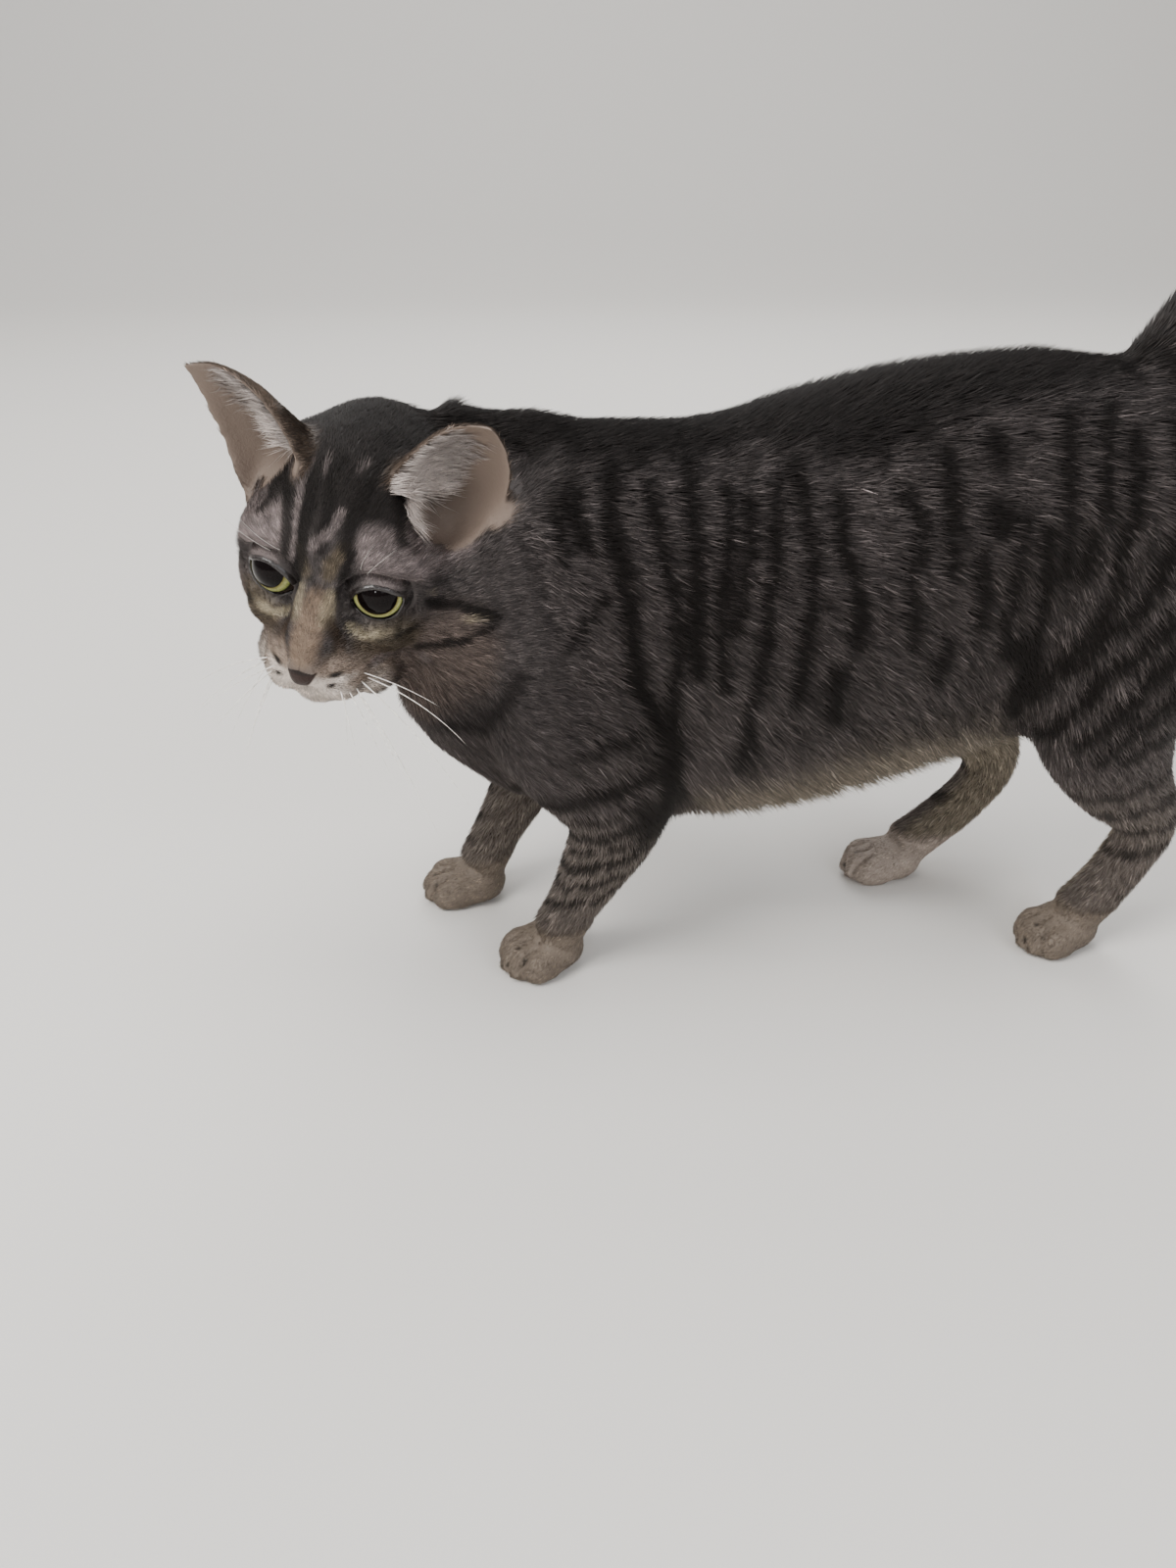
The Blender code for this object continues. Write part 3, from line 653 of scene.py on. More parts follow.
# Stripes of the left flank, seen from the side: half width, then (y, z) from top to bottom, all in mm.
FLANK_STRIPES = (
    (3.6, (-142, 243), (-135, 236), (-138, 221), (-133, 207)),
    (1.6, (-125, 190), (-135, 176), (-147, 159)),
    (2.0, (-149, 232), (-143, 221), (-140, 203)),
    (3.8, (-122, 231), (-123, 212), (-119, 202), (-116, 182), (-114, 166), (-113, 154), (-105, 143),
     (-103, 126), (-97, 103), (-97, 89)),
    (2.8, (-108, 225), (-104, 206), (-99, 190), (-97, 170), (-99, 145), (-99, 121)),
    (3.4, (-92, 231), (-92, 212), (-91, 191), (-91, 173), (-89, 160)),
    (2.6, (-78, 225), (-79, 206), (-80, 191), (-81, 170), (-78, 154)),
    (2.6, (-71, 221), (-71, 206), (-73, 194), (-75, 179)),
    (2.9, (-61, 225), (-61, 206), (-63, 191), (-64, 173), (-65, 157), (-68, 140), (-72, 124)),
    (2.9, (-54, 232), (-50, 215), (-47, 202), (-48, 182), (-49, 167), (-49, 148)),
    (3.4, (-37, 222), (-36, 206), (-31, 197), (-28, 182), (-28, 171)),
    (4.4, (-34, 160), (-34, 153), (-34, 142)),
    (3.0, (-13, 225), (-7, 216), (-6, 205), (-10, 199), (-8, 186), (-5, 169)),
    (3.6, (2, 238), (5, 225), (6, 212), (7, 198)),
    (3.2, (8, 170), (8, 155)),
    (4.6, (21, 242), (23, 237)),
    (4.4, (22, 220), (25, 214)),
    (3.8, (17, 204), (21, 191), (21, 178)),
    (3.0, (34, 217), (34, 200), (33, 184), (32, 174)),
    (4.4, (44, 211), (47, 196), (48, 181), (46, 163), (46, 147), (48, 136)),
    (6.0, (36, 168), (47, 164), (53, 146)),
    (3.4, (50, 249), (50, 231), (52, 218), (55, 196)),
    (3.2, (63, 211), (63, 195)),
    (3.4, (68, 251), (65, 229), (67, 216)),
    (3.4, (78, 243), (80, 215), (77, 206), (77, 192), (73, 181), (63, 165), (56, 153)),
    (3.2, (103, 216), (95, 202), (88, 186), (75, 173), (64, 159)),
    (3.2, (110, 190), (100, 180), (87, 167), (76, 156), (71, 145), (65, 134), (61, 127)),
    (3.4, (118, 176), (103, 167), (93, 153), (85, 142), (75, 128)),
    (3.0, (122, 155), (107, 147), (93, 135), (81, 118)),
    (2.6, (92, 118), (104, 127), (118, 130)),
    (3.2, (96, 246), (98, 228), (104, 212)),
    (2.8, (112, 244), (114, 226), (118, 204)),
)
# Where the dark band of the back ends, down the flank: (y, z) in mm.
BACK_BAND = ((-180, 226), (-137, 229), (-107, 228), (-85, 229), (-62, 234), (-34, 230), (-14, 234), (5, 243),
             (32, 249), (54, 253), (92, 256), (120, 262))
# Rings of the legs: height at the elbow side, half width (mm).
FORELEG_RINGS = ((133, 2.4), (112, 4.6), (99, 1.6), (87, 3.4), (78, 1.4), (69, 2.6), (58, 2.0), (48, 1.4))
SHANK_RINGS = ((101, 2.4), (86, 2.6), (71, 2.4), (57, 2.0))

# Lines of the face in head axes, mm: colour, half width, strength, mirrored, points.
FACE_LINES = (
    (CHEEK, 17.0, 0.9, True, ((-12, 40, -30), (-14, 50, -24), (-14, 34, -38))),
    (OLIVE, 7.5, 0.85, True, ((3, 21, -18), (-4, 30, -17))),
    (BROWN, 3.0, 0.55, True, ((6, 15, -18), (2, 24, -20))),
    (LILAC, 7.0, 0.95, True, ((-9, 19, 19), (-5, 22, 13), (-5, 28, 12), (-12, 34, 13), (-30, 41, 11))),
    (LILAC, 7.0, 0.85, True, ((-12, 32, 20), (-22, 37, 19), (-32, 43, 15))),
    (OLIVE, 2.6, 0.9, False, ((-5, 8, 17), (-2, 5, 12), (1, 4, 8))),
    (OLIVE, 2.4, 0.8, False, ((-4, -9, 16), (-2, -7, 12), (1, -5, 7))),
    (TAN, 5.4, 0.95, False, ((9, 2, 0), (15, 1, -6), (21, 0, -15))),
    (CREAM, 3.0, 0.55, True, ((5, 7.2, 2), (8, 6.2, -2), (10, 5.8, -5))),
    (BROWN, 2.8, 0.85, True, ((10.4, 8.5, -6), (10, 11, -13), (12, 11, -18))),
    (CREAM, 1.7, 0.75, True, ((3.2, 12.5, -11.5), (4.3, 18.3, -13.0), (-1, 28, -11.5))),
    (CREAM, 2.0, 0.6, True, ((-3, 31, 5), (-8, 35, 2.5), (-15, 44, -2), (-16, 56, -2.5))),
    (CREAM, 1.8, 0.6, True, ((-10, 40, -11), (-14, 52, -10), (-15, 60, -6.5))),
    (PAD, 8.0, 0.9, True, ((17, 8, -26), (9, 15, -28), (2, 19, -30))),
    (WHITE, 5.4, 1.0, True, ((25, 3.5, -28), (20, 10, -32.5), (12, 15, -35.5), (2, 20.5, -36))),
    (WHITE, 5.0, 0.9, True, ((20, 5, -36), (10, 10, -40))),
    (WHITE, 2.0, 0.95, True, ((19, 11, -26.8), (10, 17, -27.6), (3, 20.5, -28.5))),
    (WHITE, 7.0, 0.9, False, ((13, 0, -41), (2, 0, -47))),
    (LILAC, 2.6, 0.75, True, ((10, 15, -26), (1, 24, -26), (-7, 36, -29))),
    (STRIPE_AND_SHADE, 1.0, 1.0, True, ((18.5, 10.5, -24.6), (11, 15.5, -25.0), (5, 19.0, -25.6))),
    (STRIPE_AND_SHADE, 0.9, 1.0, True, ((20, 10, -28.6), (12, 15.5, -29.4), (5, 19.0, -30.2))),
    (STRIPE_AND_SHADE, 0.6, 0.6, True, ((18, 12, -31.4), (11, 16, -32.2), (6, 18.6, -33))),
    (STRIPE_AND_SHADE, 0.8, 0.8, True, ((23, 0, -35), (20, 5, -37.5), (12, 12, -39.5), (2, 18, -39.5))),
    (STRIPE_AND_SHADE, 2.3, 0.97, True, ((-6.5, 31.5, -1.5), (-14, 40, -6), (-17, 47.5, -6.5), (-16, 56.5, -6.6),
                               (-16, 63, -6))),
    (STRIPE_AND_SHADE, 1.7, 0.95, True, ((-8, 34, -25.5), (-10.5, 47, -20), (-11, 54, -17), (-13, 59, -12),
                               (-14.5, 63, -8.5))),
    (STRIPE_AND_SHADE, 1.2, 0.75, True, ((-1, 29, -14.5), (-8, 35, -14.5))),
    (STRIPE_AND_SHADE, 1.7, 0.95, True, ((-4.5, 10.8, 16), (-1.7, 9.8, 10.6), (0.4, 8.6, 5.7))),
    (STRIPE_AND_SHADE, 2.6, 0.9, True, ((-33, 15, 40), (-20, 11.5, 35), (-15, 10.0, 31), (-9, 9.0, 24), (-5, 8.6, 18))),
    (STRIPE_AND_SHADE, 2.4, 0.9, False, ((-21, -9, 35), (-12, -6.3, 28.4), (-6, -6.5, 20), (-2, -6.4, 12),
                               (1, -8, 4.6))),
    (STRIPE_AND_SHADE, 2.2, 0.9, False, ((-26, 0, 40), (-20, -1.5, 35.6), (-11, 0.5, 28), (-7.4, -1, 22.8),
                               (-3, 0, 16))),
    (STRIPE_AND_SHADE, 2.0, 0.9, False, ((-18, -17.7, 29.3), (-9, -14.5, 22.4), (-4, -13.4, 14.5), (-2, -14.4, 9.3))),
    (STRIPE_AND_SHADE, 2.2, 0.8, True, ((-24, 22, 31), (-18, 24, 24), (-13, 27, 20))),
    (LILAC, 1.2, 0.62, False, ((-26, -11.6, 38), (-15.6, -11.6, 30.2), (-5.8, -10.5, 18.7),
                               (-1.6, -11, 9.5))),
    (LILAC, 1.6, 0.62, False, ((-11.5, 5.1, 27.5), (-7.2, 2.6, 22.4), (-3.5, -2.8, 16))),
    (LILAC, 1.2, 0.5, False, ((-29, 8.9, 39.6), (-24.7, 7.0, 37.5))),
    (LILAC, 1.2, 0.5, False, ((-27, -5.4, 39.4), (-21.4, -4.6, 36.4))),
    (LILAC, 1.6, 0.5, True, ((-32, 23, 39), (-26, 20, 34))),
    (LILAC, 5.0, 0.8, True, ((-24, 38, 14), (-30, 41, 16), (-33, 40, 22))),
    (STRIPE_AND_SHADE, 3.2, 0.7, True, ((-1.5, 48, -56), (0, 64, -49), (1, 74, -31), (-2, 78, -22))),
)


def drawn(points, line, half_width, strength):
    """1 on a painted line, with a soft edge."""
    return strength * fade(gap_to_line(points, line), half_width * 0.55, half_width * 1.45 + 0.3)


def layered(colour, *layers):
    """Mixes tints over a colour, one after another, each by its own share."""
    for tint, share in layers:
        share = np.clip(share, 0, 1)[:, None]
        colour = colour * (1 - share) + np.array(tint) * share
    return colour


def nose_leather(points):
    """1 on the bare nose: wide at its top, narrowing down to the lip."""
    x, y, z = (to_head(points) * 1000).T
    drop = np.clip((-19.8 - 0.03 * y * y - z) / 10.0, 0, 1)
    half_width = 6.6 * (1 - drop) ** 0.55 * smoothstep(drop, 0.0, 0.12)
    return fade(np.abs(y) - half_width, -0.5, 0.4) * (x > 17) * (np.abs(z + 25) < 8)


def ear_hollows(points):
    """1 deep in the bowl of each ear, where little light falls."""
    deep = np.zeros(len(points))
    for name in EAR_ROOTS:
        x, y, z = (to_axes(points, ear_axes(name)) * 1000).T
        deep = np.maximum(deep, np.exp(-(((y - 2) / 9) ** 2 + ((z - 8) / 13) ** 2 + ((x + 14) / 9) ** 2)))
    return 0.8 * deep


def darkest(*layers):
    """The strongest of several shares at each point."""
    return np.maximum.reduce(layers)


def rings(height, table, ragged, softness):
    """1 on each ring round a leg, by height along it in mm."""
    for at, half_width in table:
        yield fade(np.abs(height - at + 1.5 * ragged), half_width * 0.5, half_width * softness)


def back_and_flanks(points, out, head, tail, ragged, mottle):
    """How dark the flank stripes are, and how dark the band along the back."""
    x, y, z = (points * 1000).T
    mirror = np.where(x < 0, 1.0, 0.0)  # the far side repeats the near side, a little shifted
    side_y = y + mirror * (3.5 * waves(points, 0.05, 8) + 4.0) + 1.0 * ragged
    side_z = z + mirror * 5.0 * waves(points, 0.06, 9)
    flank = np.nonzero(head + tail < 0.99)[0]
    plane = np.stack((side_y, side_z), axis=1)[flank]
    stripes = np.zeros(len(points))
    stripes[flank] = darkest(*[drawn(plane, line, half_width, 0.97) for half_width, *line in FLANK_STRIPES])
    period = side_y / 9.5 + 0.55 * waves(points, 0.050, 13, 2)
    thin = smoothstep(np.cos(2 * math.pi * period), 0.30, 0.85)
    thin *= smoothstep(waves(points, 0.022, 14, 2), -0.35, 0.25)
    stripes = darkest(stripes, 0.62 * thin * smoothstep(z, 98, 125) * smoothstep(y, -125, -110))
    edge = np.interp(y, *np.array(BACK_BAND, dtype=float).T)
    band = smoothstep(z - edge + 3.0 * ragged + 1.5 * mottle, -2.0, 7.0) * (1 - head) * (1 - tail)
    spine = fade(np.abs(x) + 2.0 * ragged, 7.0, 12.0) * smoothstep(out[:, 2], 0.2, 0.6) * (1 - tail)
    band = darkest(band, spine * (y > -190)) * (0.90 + 0.14 * waves(points, 0.006, 15, 2))
    return stripes, np.clip(band, 0, 0.97)


def legs_and_tail(points, out, shares, inner, ragged):
    """How dark the rings of the legs and of the tail are, and the patch at the elbow."""
    x, y, z = (points * 1000).T
    slope = z - 0.45 * (y + 125.0) * (x > 0) - 0.45 * (y + 150.0) * (x < 0)
    shoulder = fade(np.abs(y + 128), 22, 30) * (z < 140) * (1 - shares["head"])
    foreleg = np.clip(shares["foreleg"] + shoulder, 0, 1)
    off_belly = 1 - shares["belly"]
    elbow = fade(np.hypot(y + 98, z - 96) + 2 * ragged, 10, 19)
    hock = z - 0.3 * (y - 110)
    along = along_line(points, LIMB_LINES["tail"])[1]
    tail = smoothstep(np.cos(2 * math.pi * (along * 9.0 + 0.15 * ragged)), -0.55, 0.15)
    tail = darkest(tail, smoothstep(along, 0.80, 0.88)) * 0.9
    tail = darkest(tail, 0.80 * smoothstep(-out[:, 1], -0.1, 0.5), np.full(len(points), 0.55))
    dark = darkest(0.95 * elbow * off_belly * (np.abs(x) > 25), shares["tail"] * tail)
    for ring in rings(slope, FORELEG_RINGS, ragged, 1.4):
        dark = darkest(dark, 0.93 * ring * foreleg * (1 - 0.6 * inner) * off_belly)
    for ring in rings(hock, SHANK_RINGS, ragged, 1.6):
        dark = darkest(dark, 0.75 * ring * shares["shank"] * (1 - 0.7 * inner))
    return dark


def face_and_ears(points, colour, shares, ragged):
    """Paints the lines of the face, the ears and the nose over the colour of the coat, with painted shade in
    the nostrils and deep in the ear bowls.
    """
    local = to_head(points) * 1000
    x, y, z = local.T
    near_head = np.clip(shares["head"] + shares["neck"], 0, 1)
    reach = np.nonzero((near_head > 0.01) & (lengths(local) < 130))[0]
    place = local[reach] + 0.35 * ragged[reach, None]
    for tint, half_width, strength, both, line in FACE_LINES:
        share = drawn(place, line, half_width, strength)
        if both:
            share = darkest(share, drawn(place, mirrored(line), half_width, strength))
        colour[reach] = layered(colour[reach], (tint, share * near_head[reach]))
    tip = darkest(*[smoothstep(to_axes(points, ear_axes(name))[:, 2] * 1000, 38, 50) for name in EAR_ROOTS])
    leather = nose_leather(points)
    flipped = np.stack((x, np.abs(y), z), axis=1)
    # Painted shade in the nostrils; the last tint below lays it over the nose leather, with the top edge of
    # the leather darker too.
    nostril = drawn(flipped, ((25.5, 3.2, -26.2), (24.5, 5.4, -25.0), (22.5, 6.6, -23.8)), 0.8, 1.0)
    edge = smoothstep(z, -22.6, -20.6)
    return layered(
        colour, (EAR_BACK, shares["ear_back"]), (STRIPE_AND_SHADE, 0.6 * shares["ear_back"] * tip),
        (EAR_INSIDE, shares["ear_inside"] * 1.3),
        (np.array(EAR_INSIDE) * 0.35, shares["ear_inside"] * ear_hollows(points)),
        (NOSE_LEATHER, leather), (np.array(STRIPE_AND_SHADE) * 0.6, leather * darkest(nostril, 0.75 * edge)))


def markings(points, out, shares):
    """Colour of the coat at each point; shares says how far the point belongs to each kind of part."""
    x, y, z = (points * 1000).T
    ragged, mottle = waves(points, 0.016, 3), waves(points, 0.009, 4)
    head, tail, foreleg, shank, paw = (shares[kind] for kind in ("head", "tail", "foreleg", "shank", "paw"))
    uneven = 1 + 0.10 * mottle + 0.10 * waves(points, 0.06, 6)
    colour = np.tile(np.array(GROUND), (len(points), 1)) * uneven[:, None]
    under = shares["belly"] * smoothstep(-out[:, 2], 0.20, 0.70)
    inner = smoothstep(-out[:, 0] * np.sign(x), 0.1, 0.7)
    groin = np.clip(inner * (shank + shares["thigh"]) + shares["belly"] * smoothstep(y, 20, 70), 0, 1)
    colour = layered(
        colour, (BELLY, np.clip(under * 2.4 + 0.15 * mottle * (under > 0.1), 0, 1)),
        (np.array(GROUND) * 1.6, 0.7 * smoothstep(-z, -150, -90) * (1 - under)),
        (BELLY, 0.6 * inner * (foreleg + shank)), (LEG, 0.8 * (foreleg + shank) * smoothstep(115 - z, 0, 45)),
        (INNER_LEG, 0.85 * groin * smoothstep(165 - z, 0, 40)), (PAW, paw),
        # the last tint is painted shade: the near-black laid in the clefts between the toes
        (PALE_PAW, paw * (x < 0) * (y > 0)), (STRIPE_AND_SHADE, 0.9 * smoothstep(toe_gaps(points), 0.2, 0.7) * paw))
    stripes, band = back_and_flanks(points, out, head, tail, ragged, mottle)
    stripes *= (1 - head) * (1 - foreleg * 0.7) * (1 - shank) * (1 - paw) * (1 - tail) * (1 - 0.85 * under)
    stripes *= 1 - 0.8 * groin * (z < 165)
    _, y, z = local = (to_head(points) * 1000).T
    crown = smoothstep(z + 1.5 * ragged - 0.25 * np.abs(y), 14, 24) * fade(local[0], -14, -2)
    nape = fade(np.abs(y), 20, 34) * smoothstep(z, 5, 22) * fade(local[0], -50, -35)
    rest = legs_and_tail(points, out, shares, inner, ragged)
    dark = darkest(stripes, band, rest, head * darkest(crown * 0.86, nape * 0.9))
    return face_and_ears(points, layered(colour, (STRIPE_AND_SHADE, dark)), shares, ragged)


def part_shares():
    shares = {kind: evened(edges, (kind_of == index).astype(float), 6) for index, kind in enumerate(KINDS)}
    shares["head"] = np.clip(shares["head"] + shares["nose"], 0, 1)
    shares["belly"] = belly
    shares["ear_inside"], shares["ear_back"] = ear_inside, ear_back
    return shares


shares = part_shares()
skin_colour = markings(points, normals, shares)


# ---------------------------------------------------------------- coat

def corner_arrays(mesh):
    """Corner vertices, and their places on the unwrap, of every triangle."""
    places = read(mesh.uv_layers["OFBake"].uv, "vector", 2, np.float32)
    return read(mesh.polygons, "vertices", 3, np.int64), places.reshape(-1, 3, 2)


def unwrap(skin):
    skin.data.uv_layers.new(name="OFBake")
    edit_whole(skin, lambda: bpy.ops.uv.smart_project(angle_limit=math.radians(66), island_margin=0.002))


BENT_TUFT = (  # corners across and along a tuft, and its triangles
    ((-1, -1), (1, -1), (0, -1), (-1, 0), (1, 0), (0, 0), (0, 1)),
    ((0, 2, 1), (0, 1, 4), (0, 4, 3), (1, 2, 5), (1, 5, 4), (2, 0, 3), (2, 3, 5),
     (3, 4, 6), (4, 5, 6), (5, 3, 6)),
)
STRAIGHT_TUFT = (((-1, -1), (1, -1), (0, -1), (0, 1)), ((0, 2, 1), (0, 1, 3), (1, 2, 3), (2, 0, 3)))
SUNK = 0.3 * MM  # depth of a tuft's root in the skin
FLOOR_GAP = 0.0001  # no tuft goes lower than this
PATCH = 0.0015  # half the width of a tuft's patch on the unwrap


def set_attribute(mesh, name, values):
    layer = mesh.attributes.new(name=name, type="FLOAT", domain="POINT")
    layer.data.foreach_set("value", np.ascontiguousarray(values, dtype=np.float32))


def paint(mesh, colours):
    layer = mesh.color_attributes.new(name="coat_colour", type="FLOAT_COLOR", domain="POINT")
    rgba = np.ones((len(colours), 4), dtype=np.float32)
    rgba[:, :3] = colours
    layer.data.foreach_set("color", rgba.ravel())


def tuft_mesh(name, roots, out, along, length, width, rise, uv, tints, bent):
    """Thin closed tufts in one mesh: three sides that narrow to a tip, straight or bent along the skin."""
    count = len(roots)
    across = unit(np.cross(out, along))
    corners, triangles = BENT_TUFT if bent else STRAIGHT_TUFT
    size = len(corners)
    rings, colours = [], []
    for t, breadth, tint in ((0.0, 0.75, tints[0]), (0.48, 1.0, tints[1]))[:1 + bent]:
        breadth = breadth if bent else 1.0
        height = rise * (2 * t - t * t) - SUNK * (t == 0)
        middle = roots + along * (length * t)[:, None] + out * height[:, None]
        half = (width * breadth / 2)[:, None]
        rings += [middle - across * half, middle + across * half, middle + out * half * 0.75]
        colours += [tint] * 3
    verts = np.stack([*rings, roots + along * length[:, None] + out * rise[:, None]], axis=1)
    verts[:, :, 2] = np.maximum(verts[:, :, 2], FLOOR_GAP)
    faces = (np.array(triangles)[None] + size * np.arange(count)[:, None, None]).reshape(-1, 3)
    mesh = bpy.data.meshes.new(name)
    mesh.vertices.add(size * count)
    mesh.vertices.foreach_set("co", verts.astype(np.float32).ravel())
    mesh.loops.add(3 * len(faces))
    mesh.loops.foreach_set("vertex_index", faces.astype(np.int32).ravel())
    mesh.polygons.add(len(faces))
    mesh.polygons.foreach_set("loop_start", np.arange(0, 3 * len(faces), 3, dtype=np.int32))
    mesh.update(calc_edges=True)
    places = uv[:, None, :] + np.array(corners)[None] * PATCH
    layer = mesh.uv_layers.new(name="OFBake")
    layer.uv.foreach_set("vector", places.reshape(-1, 2)[faces.ravel()].astype(np.float32).ravel())
    paint(mesh, np.stack([*colours, tints[2]], axis=1).reshape(-1, 3))
    side = np.tile(np.array([c[0] for c in corners], dtype=np.float32), count)
    set_attribute(mesh, "strand", side + np.repeat(RNG.uniform(0, 90, count), size).astype(np.float32))
    mesh.shade_smooth()
    return new_object(name, mesh)


def scatter(chosen, thick, most):
    """Spreads roots evenly over chosen triangles. Gives a reader of values at the roots, and their UVs."""
    a, b, c = (points[tri[:, k]] for k in range(3))
    area = lengths(np.cross(b - a, c - a)) / 2
    total = np.cumsum(area * thick[tri].mean(axis=1) * 1e6 * chosen)
    count = min(int(total[-1]), most)
    picks = np.searchsorted(total, (np.arange(count) + RNG.uniform(0, 1, count)) / count * total[-1])
    picks = np.minimum(picks, len(tri) - 1)
    r1, r2 = np.sqrt(RNG.uniform(0, 1, count)), RNG.uniform(0, 1, count)
    weights = np.stack((1 - r1, r1 * (1 - r2), r1 * r2), axis=1)
    corners = tri[picks]

    def at(values):
        return np.einsum("nk,nk...->n...", weights, values[corners])

    return at, np.einsum("nk,nkc->nc", weights, uv_corners[picks])


local = to_head(points)
in_face = fade(lengths(local - (0, 0, -0.008)), 0.030, 0.056)
near_nose = fade(lengths(local - (0.024, 0, -0.025)), 0.008, 0.040)
by_side = [round_the_eye(points, side) for side in (1, -1)]
BEHIND = 9  # what is added to the share of a point behind an eye, which isn't by it
eye_share = np.minimum(*[share + BEHIND * (in_eye[:, 0] < 0) for in_eye, share in by_side])
by_eye = fade(eye_share, 1.05, 1.9)
fineness = np.clip(1 - 0.40 * in_face - 0.22 * near_nose - 0.30 * by_eye, 0.22, 1)
fineness *= np.clip(1 - 0.25 * toe_gaps(points), 0.5, 1)
growing = (eye_share > 1.07) * (1 - nose_leather(points)) * fade(ear_inside, 0.25, 0.75)
density = coat_values[:, 4] * growing
head_like = np.clip(shares["head"], 0, 1)
density = density * (1 - head_like) + head_like * growing * (2.1 + 4.2 * in_face + 5.0 * by_eye)
ruff = bell(lengths(local * (1, 0, 1) + (0.014, 0, 0.046)), 0.016)
ruff *= smoothstep(np.abs(local[:, 1]), 0.006, 0.016)  # the fuller fur below the corners of the jaw
ridge = smoothstep(normals[:, 2], 0.45, 0.85) * is_trunk  # the hair stands up a little along the back
ridge *= smoothstep(points[:, 1], -0.075, -0.045) * fade(points[:, 1], 0.045, 0.075)
tuft_length, tuft_rise = coat_values[:, 1], coat_values[:, 3]
for place, longer, higher in ((belly, 13, 7), (throat, 4, 1), (ruff, 6, 4), (ridge, 3, 2.5)):  # mm
    tuft_length, tuft_rise = tuft_length + longer * place, tuft_rise + higher * place


def grow(name, chosen, most):
    at, uv = scatter(chosen, density, most)
    roots, out, along = at(points), unit(at(normals)), unit(at(lie))
    count = len(roots)
    fine = at(fineness)
    length = fine * at(tuft_length) * MM * RNG.uniform(0.75, 1.2, count)
    width = fine**0.8 * at(coat_values[:, 2]) * MM * RNG.uniform(0.7, 1.25, count)
    rise = fine * at(tuft_rise) * MM * RNG.uniform(0.55, 1.15, count)
    sway = RNG.normal(0, 0.16, count) + 0.22 * waves(roots, 0.012, 11)
    along = unit(along + np.cross(out, along) * sway[:, None])
    base = markings(roots, out, {kind: at(share) for kind, share in shares.items()})
    pale = smoothstep(base[:, :1], 0.020, 0.055)  # only pale hairs are banded
    clumps = 0.30 * waves(roots, 0.0050, 12, 2)[:, None]
    tone = np.exp(RNG.normal(0, 0.12, count)[:, None] + (RNG.normal(0, 0.26, count)[:, None] + clumps) * pale)
    frost = 1 + 1.3 * (RNG.uniform(0, 1, count) < 0.20)[:, None] * pale * ("body" in name)
    tip = base * tone * frost * (1 + pale * RNG.uniform(-0.45, 0.40, count)[:, None])
    root, middle = base * tone * (1 - 0.35 * pale), base * tone * (1 + 0.12 * pale)
    return tuft_mesh(name, roots, out, along, length, width, rise, uv, (root, middle, tip), bent=False)


unwrap(skin)
tri, uv_corners = corner_arrays(skin.data)
middle = points[tri].mean(axis=1)
face_kind = np.array(KINDS)[kind_of[tri[:, 0]]]
legs = np.isin(face_kind, ("foreleg", "shank", "paw"))
head_kind = np.isin(face_kind, ("head", "ear", "nose"))
tail_kind = face_kind == "tail"
body = ~(legs | head_kind | tail_kind)
sole = (middle[:, 2] < 2.0 * MM)
coats = {  # triangles that each coat piece grows on, and its most tufts
    "coat_head_left": (head_kind & (to_head(middle)[:, 1] >= 0), 49000),
    "coat_head_right": (head_kind & (to_head(middle)[:, 1] < 0), 49000),
    "coat_fore_body_left": (body & (middle[:, 0] >= 0) & (middle[:, 1] < -0.03), 38000),
    "coat_fore_body_right": (body & (middle[:, 0] < 0) & (middle[:, 1] < -0.03), 38000),
    "coat_hind_body_left": (body & (middle[:, 0] >= 0) & (middle[:, 1] >= -0.03), 38000),
    "coat_hind_body_right": (body & (middle[:, 0] < 0) & (middle[:, 1] >= -0.03), 38000),
    "coat_forelegs": (legs & ~sole & (middle[:, 1] < 0), 30000),
    "coat_hindlegs": (legs & ~sole & (middle[:, 1] >= 0), 30000),
    "coat_tail": (tail_kind, 22000),
}
coat_pieces = [grow(name, chosen, most) for name, (chosen, most) in coats.items()]


def grow_ear_hair(name):
    """Long pale hairs that cross an ear from its inner edge."""
    side = -1 if name == "ear_left" else 1  # the crown's side of this ear, along its own Y
    x, y, z = (to_axes(points, ear_axes(name)) * 1000).T
    near_edge = smoothstep(side * y, -1.0, 13.0) * fade(z, 26, 42) * (1 + 1.5 * fade(z, 6, 18))
    thick = 9.0 * near_edge * (ear_inside > 0.5) * smoothstep(z, 1.0, 5.0)
    mine = face_kind == "ear"
    mine &= lengths(to_axes(middle, ear_axes(name)) - (0, 0, 0.02)) < 0.05
    at, uv = scatter(mine, thick, 4500)
    roots, out = at(points), unit(at(normals))
    count = len(roots)
    way = np.array((0.30, -0.70 * side, 0.65)) + RNG.normal(0, 0.13, (count, 3))
    way[:, 2] += 0.5 * waves(roots, 0.010, 21)
    along = unit(directions_from(way, ear_axes(name)))
    steep = np.sum(along * out, axis=1)[:, None]
    along = unit(along - (steep - np.clip(steep, 0.10, 0.15)) * out)
    low = fade(at(z), 4, 26)
    length = (6.5 + 4.5 * low) * MM * RNG.uniform(0.6, 1.3, count)
    width = 0.24 * MM * RNG.uniform(0.7, 1.3, count)
    rise = (1.0 + 1.6 * low) * MM * RNG.uniform(0.3, 1.3, count)
    tone = np.exp(RNG.normal(0, 0.20, count) + 0.25 * waves(roots, 0.005, 22))[:, None]
    base = np.array(EAR_HAIR) * (0.50 + 0.34 * low[:, None]) * tone
    tints = (base * 0.7, base, base)
    return tuft_mesh("hair_in_" + name, roots, out, along, length, width, rise, uv, tints, bent=True)


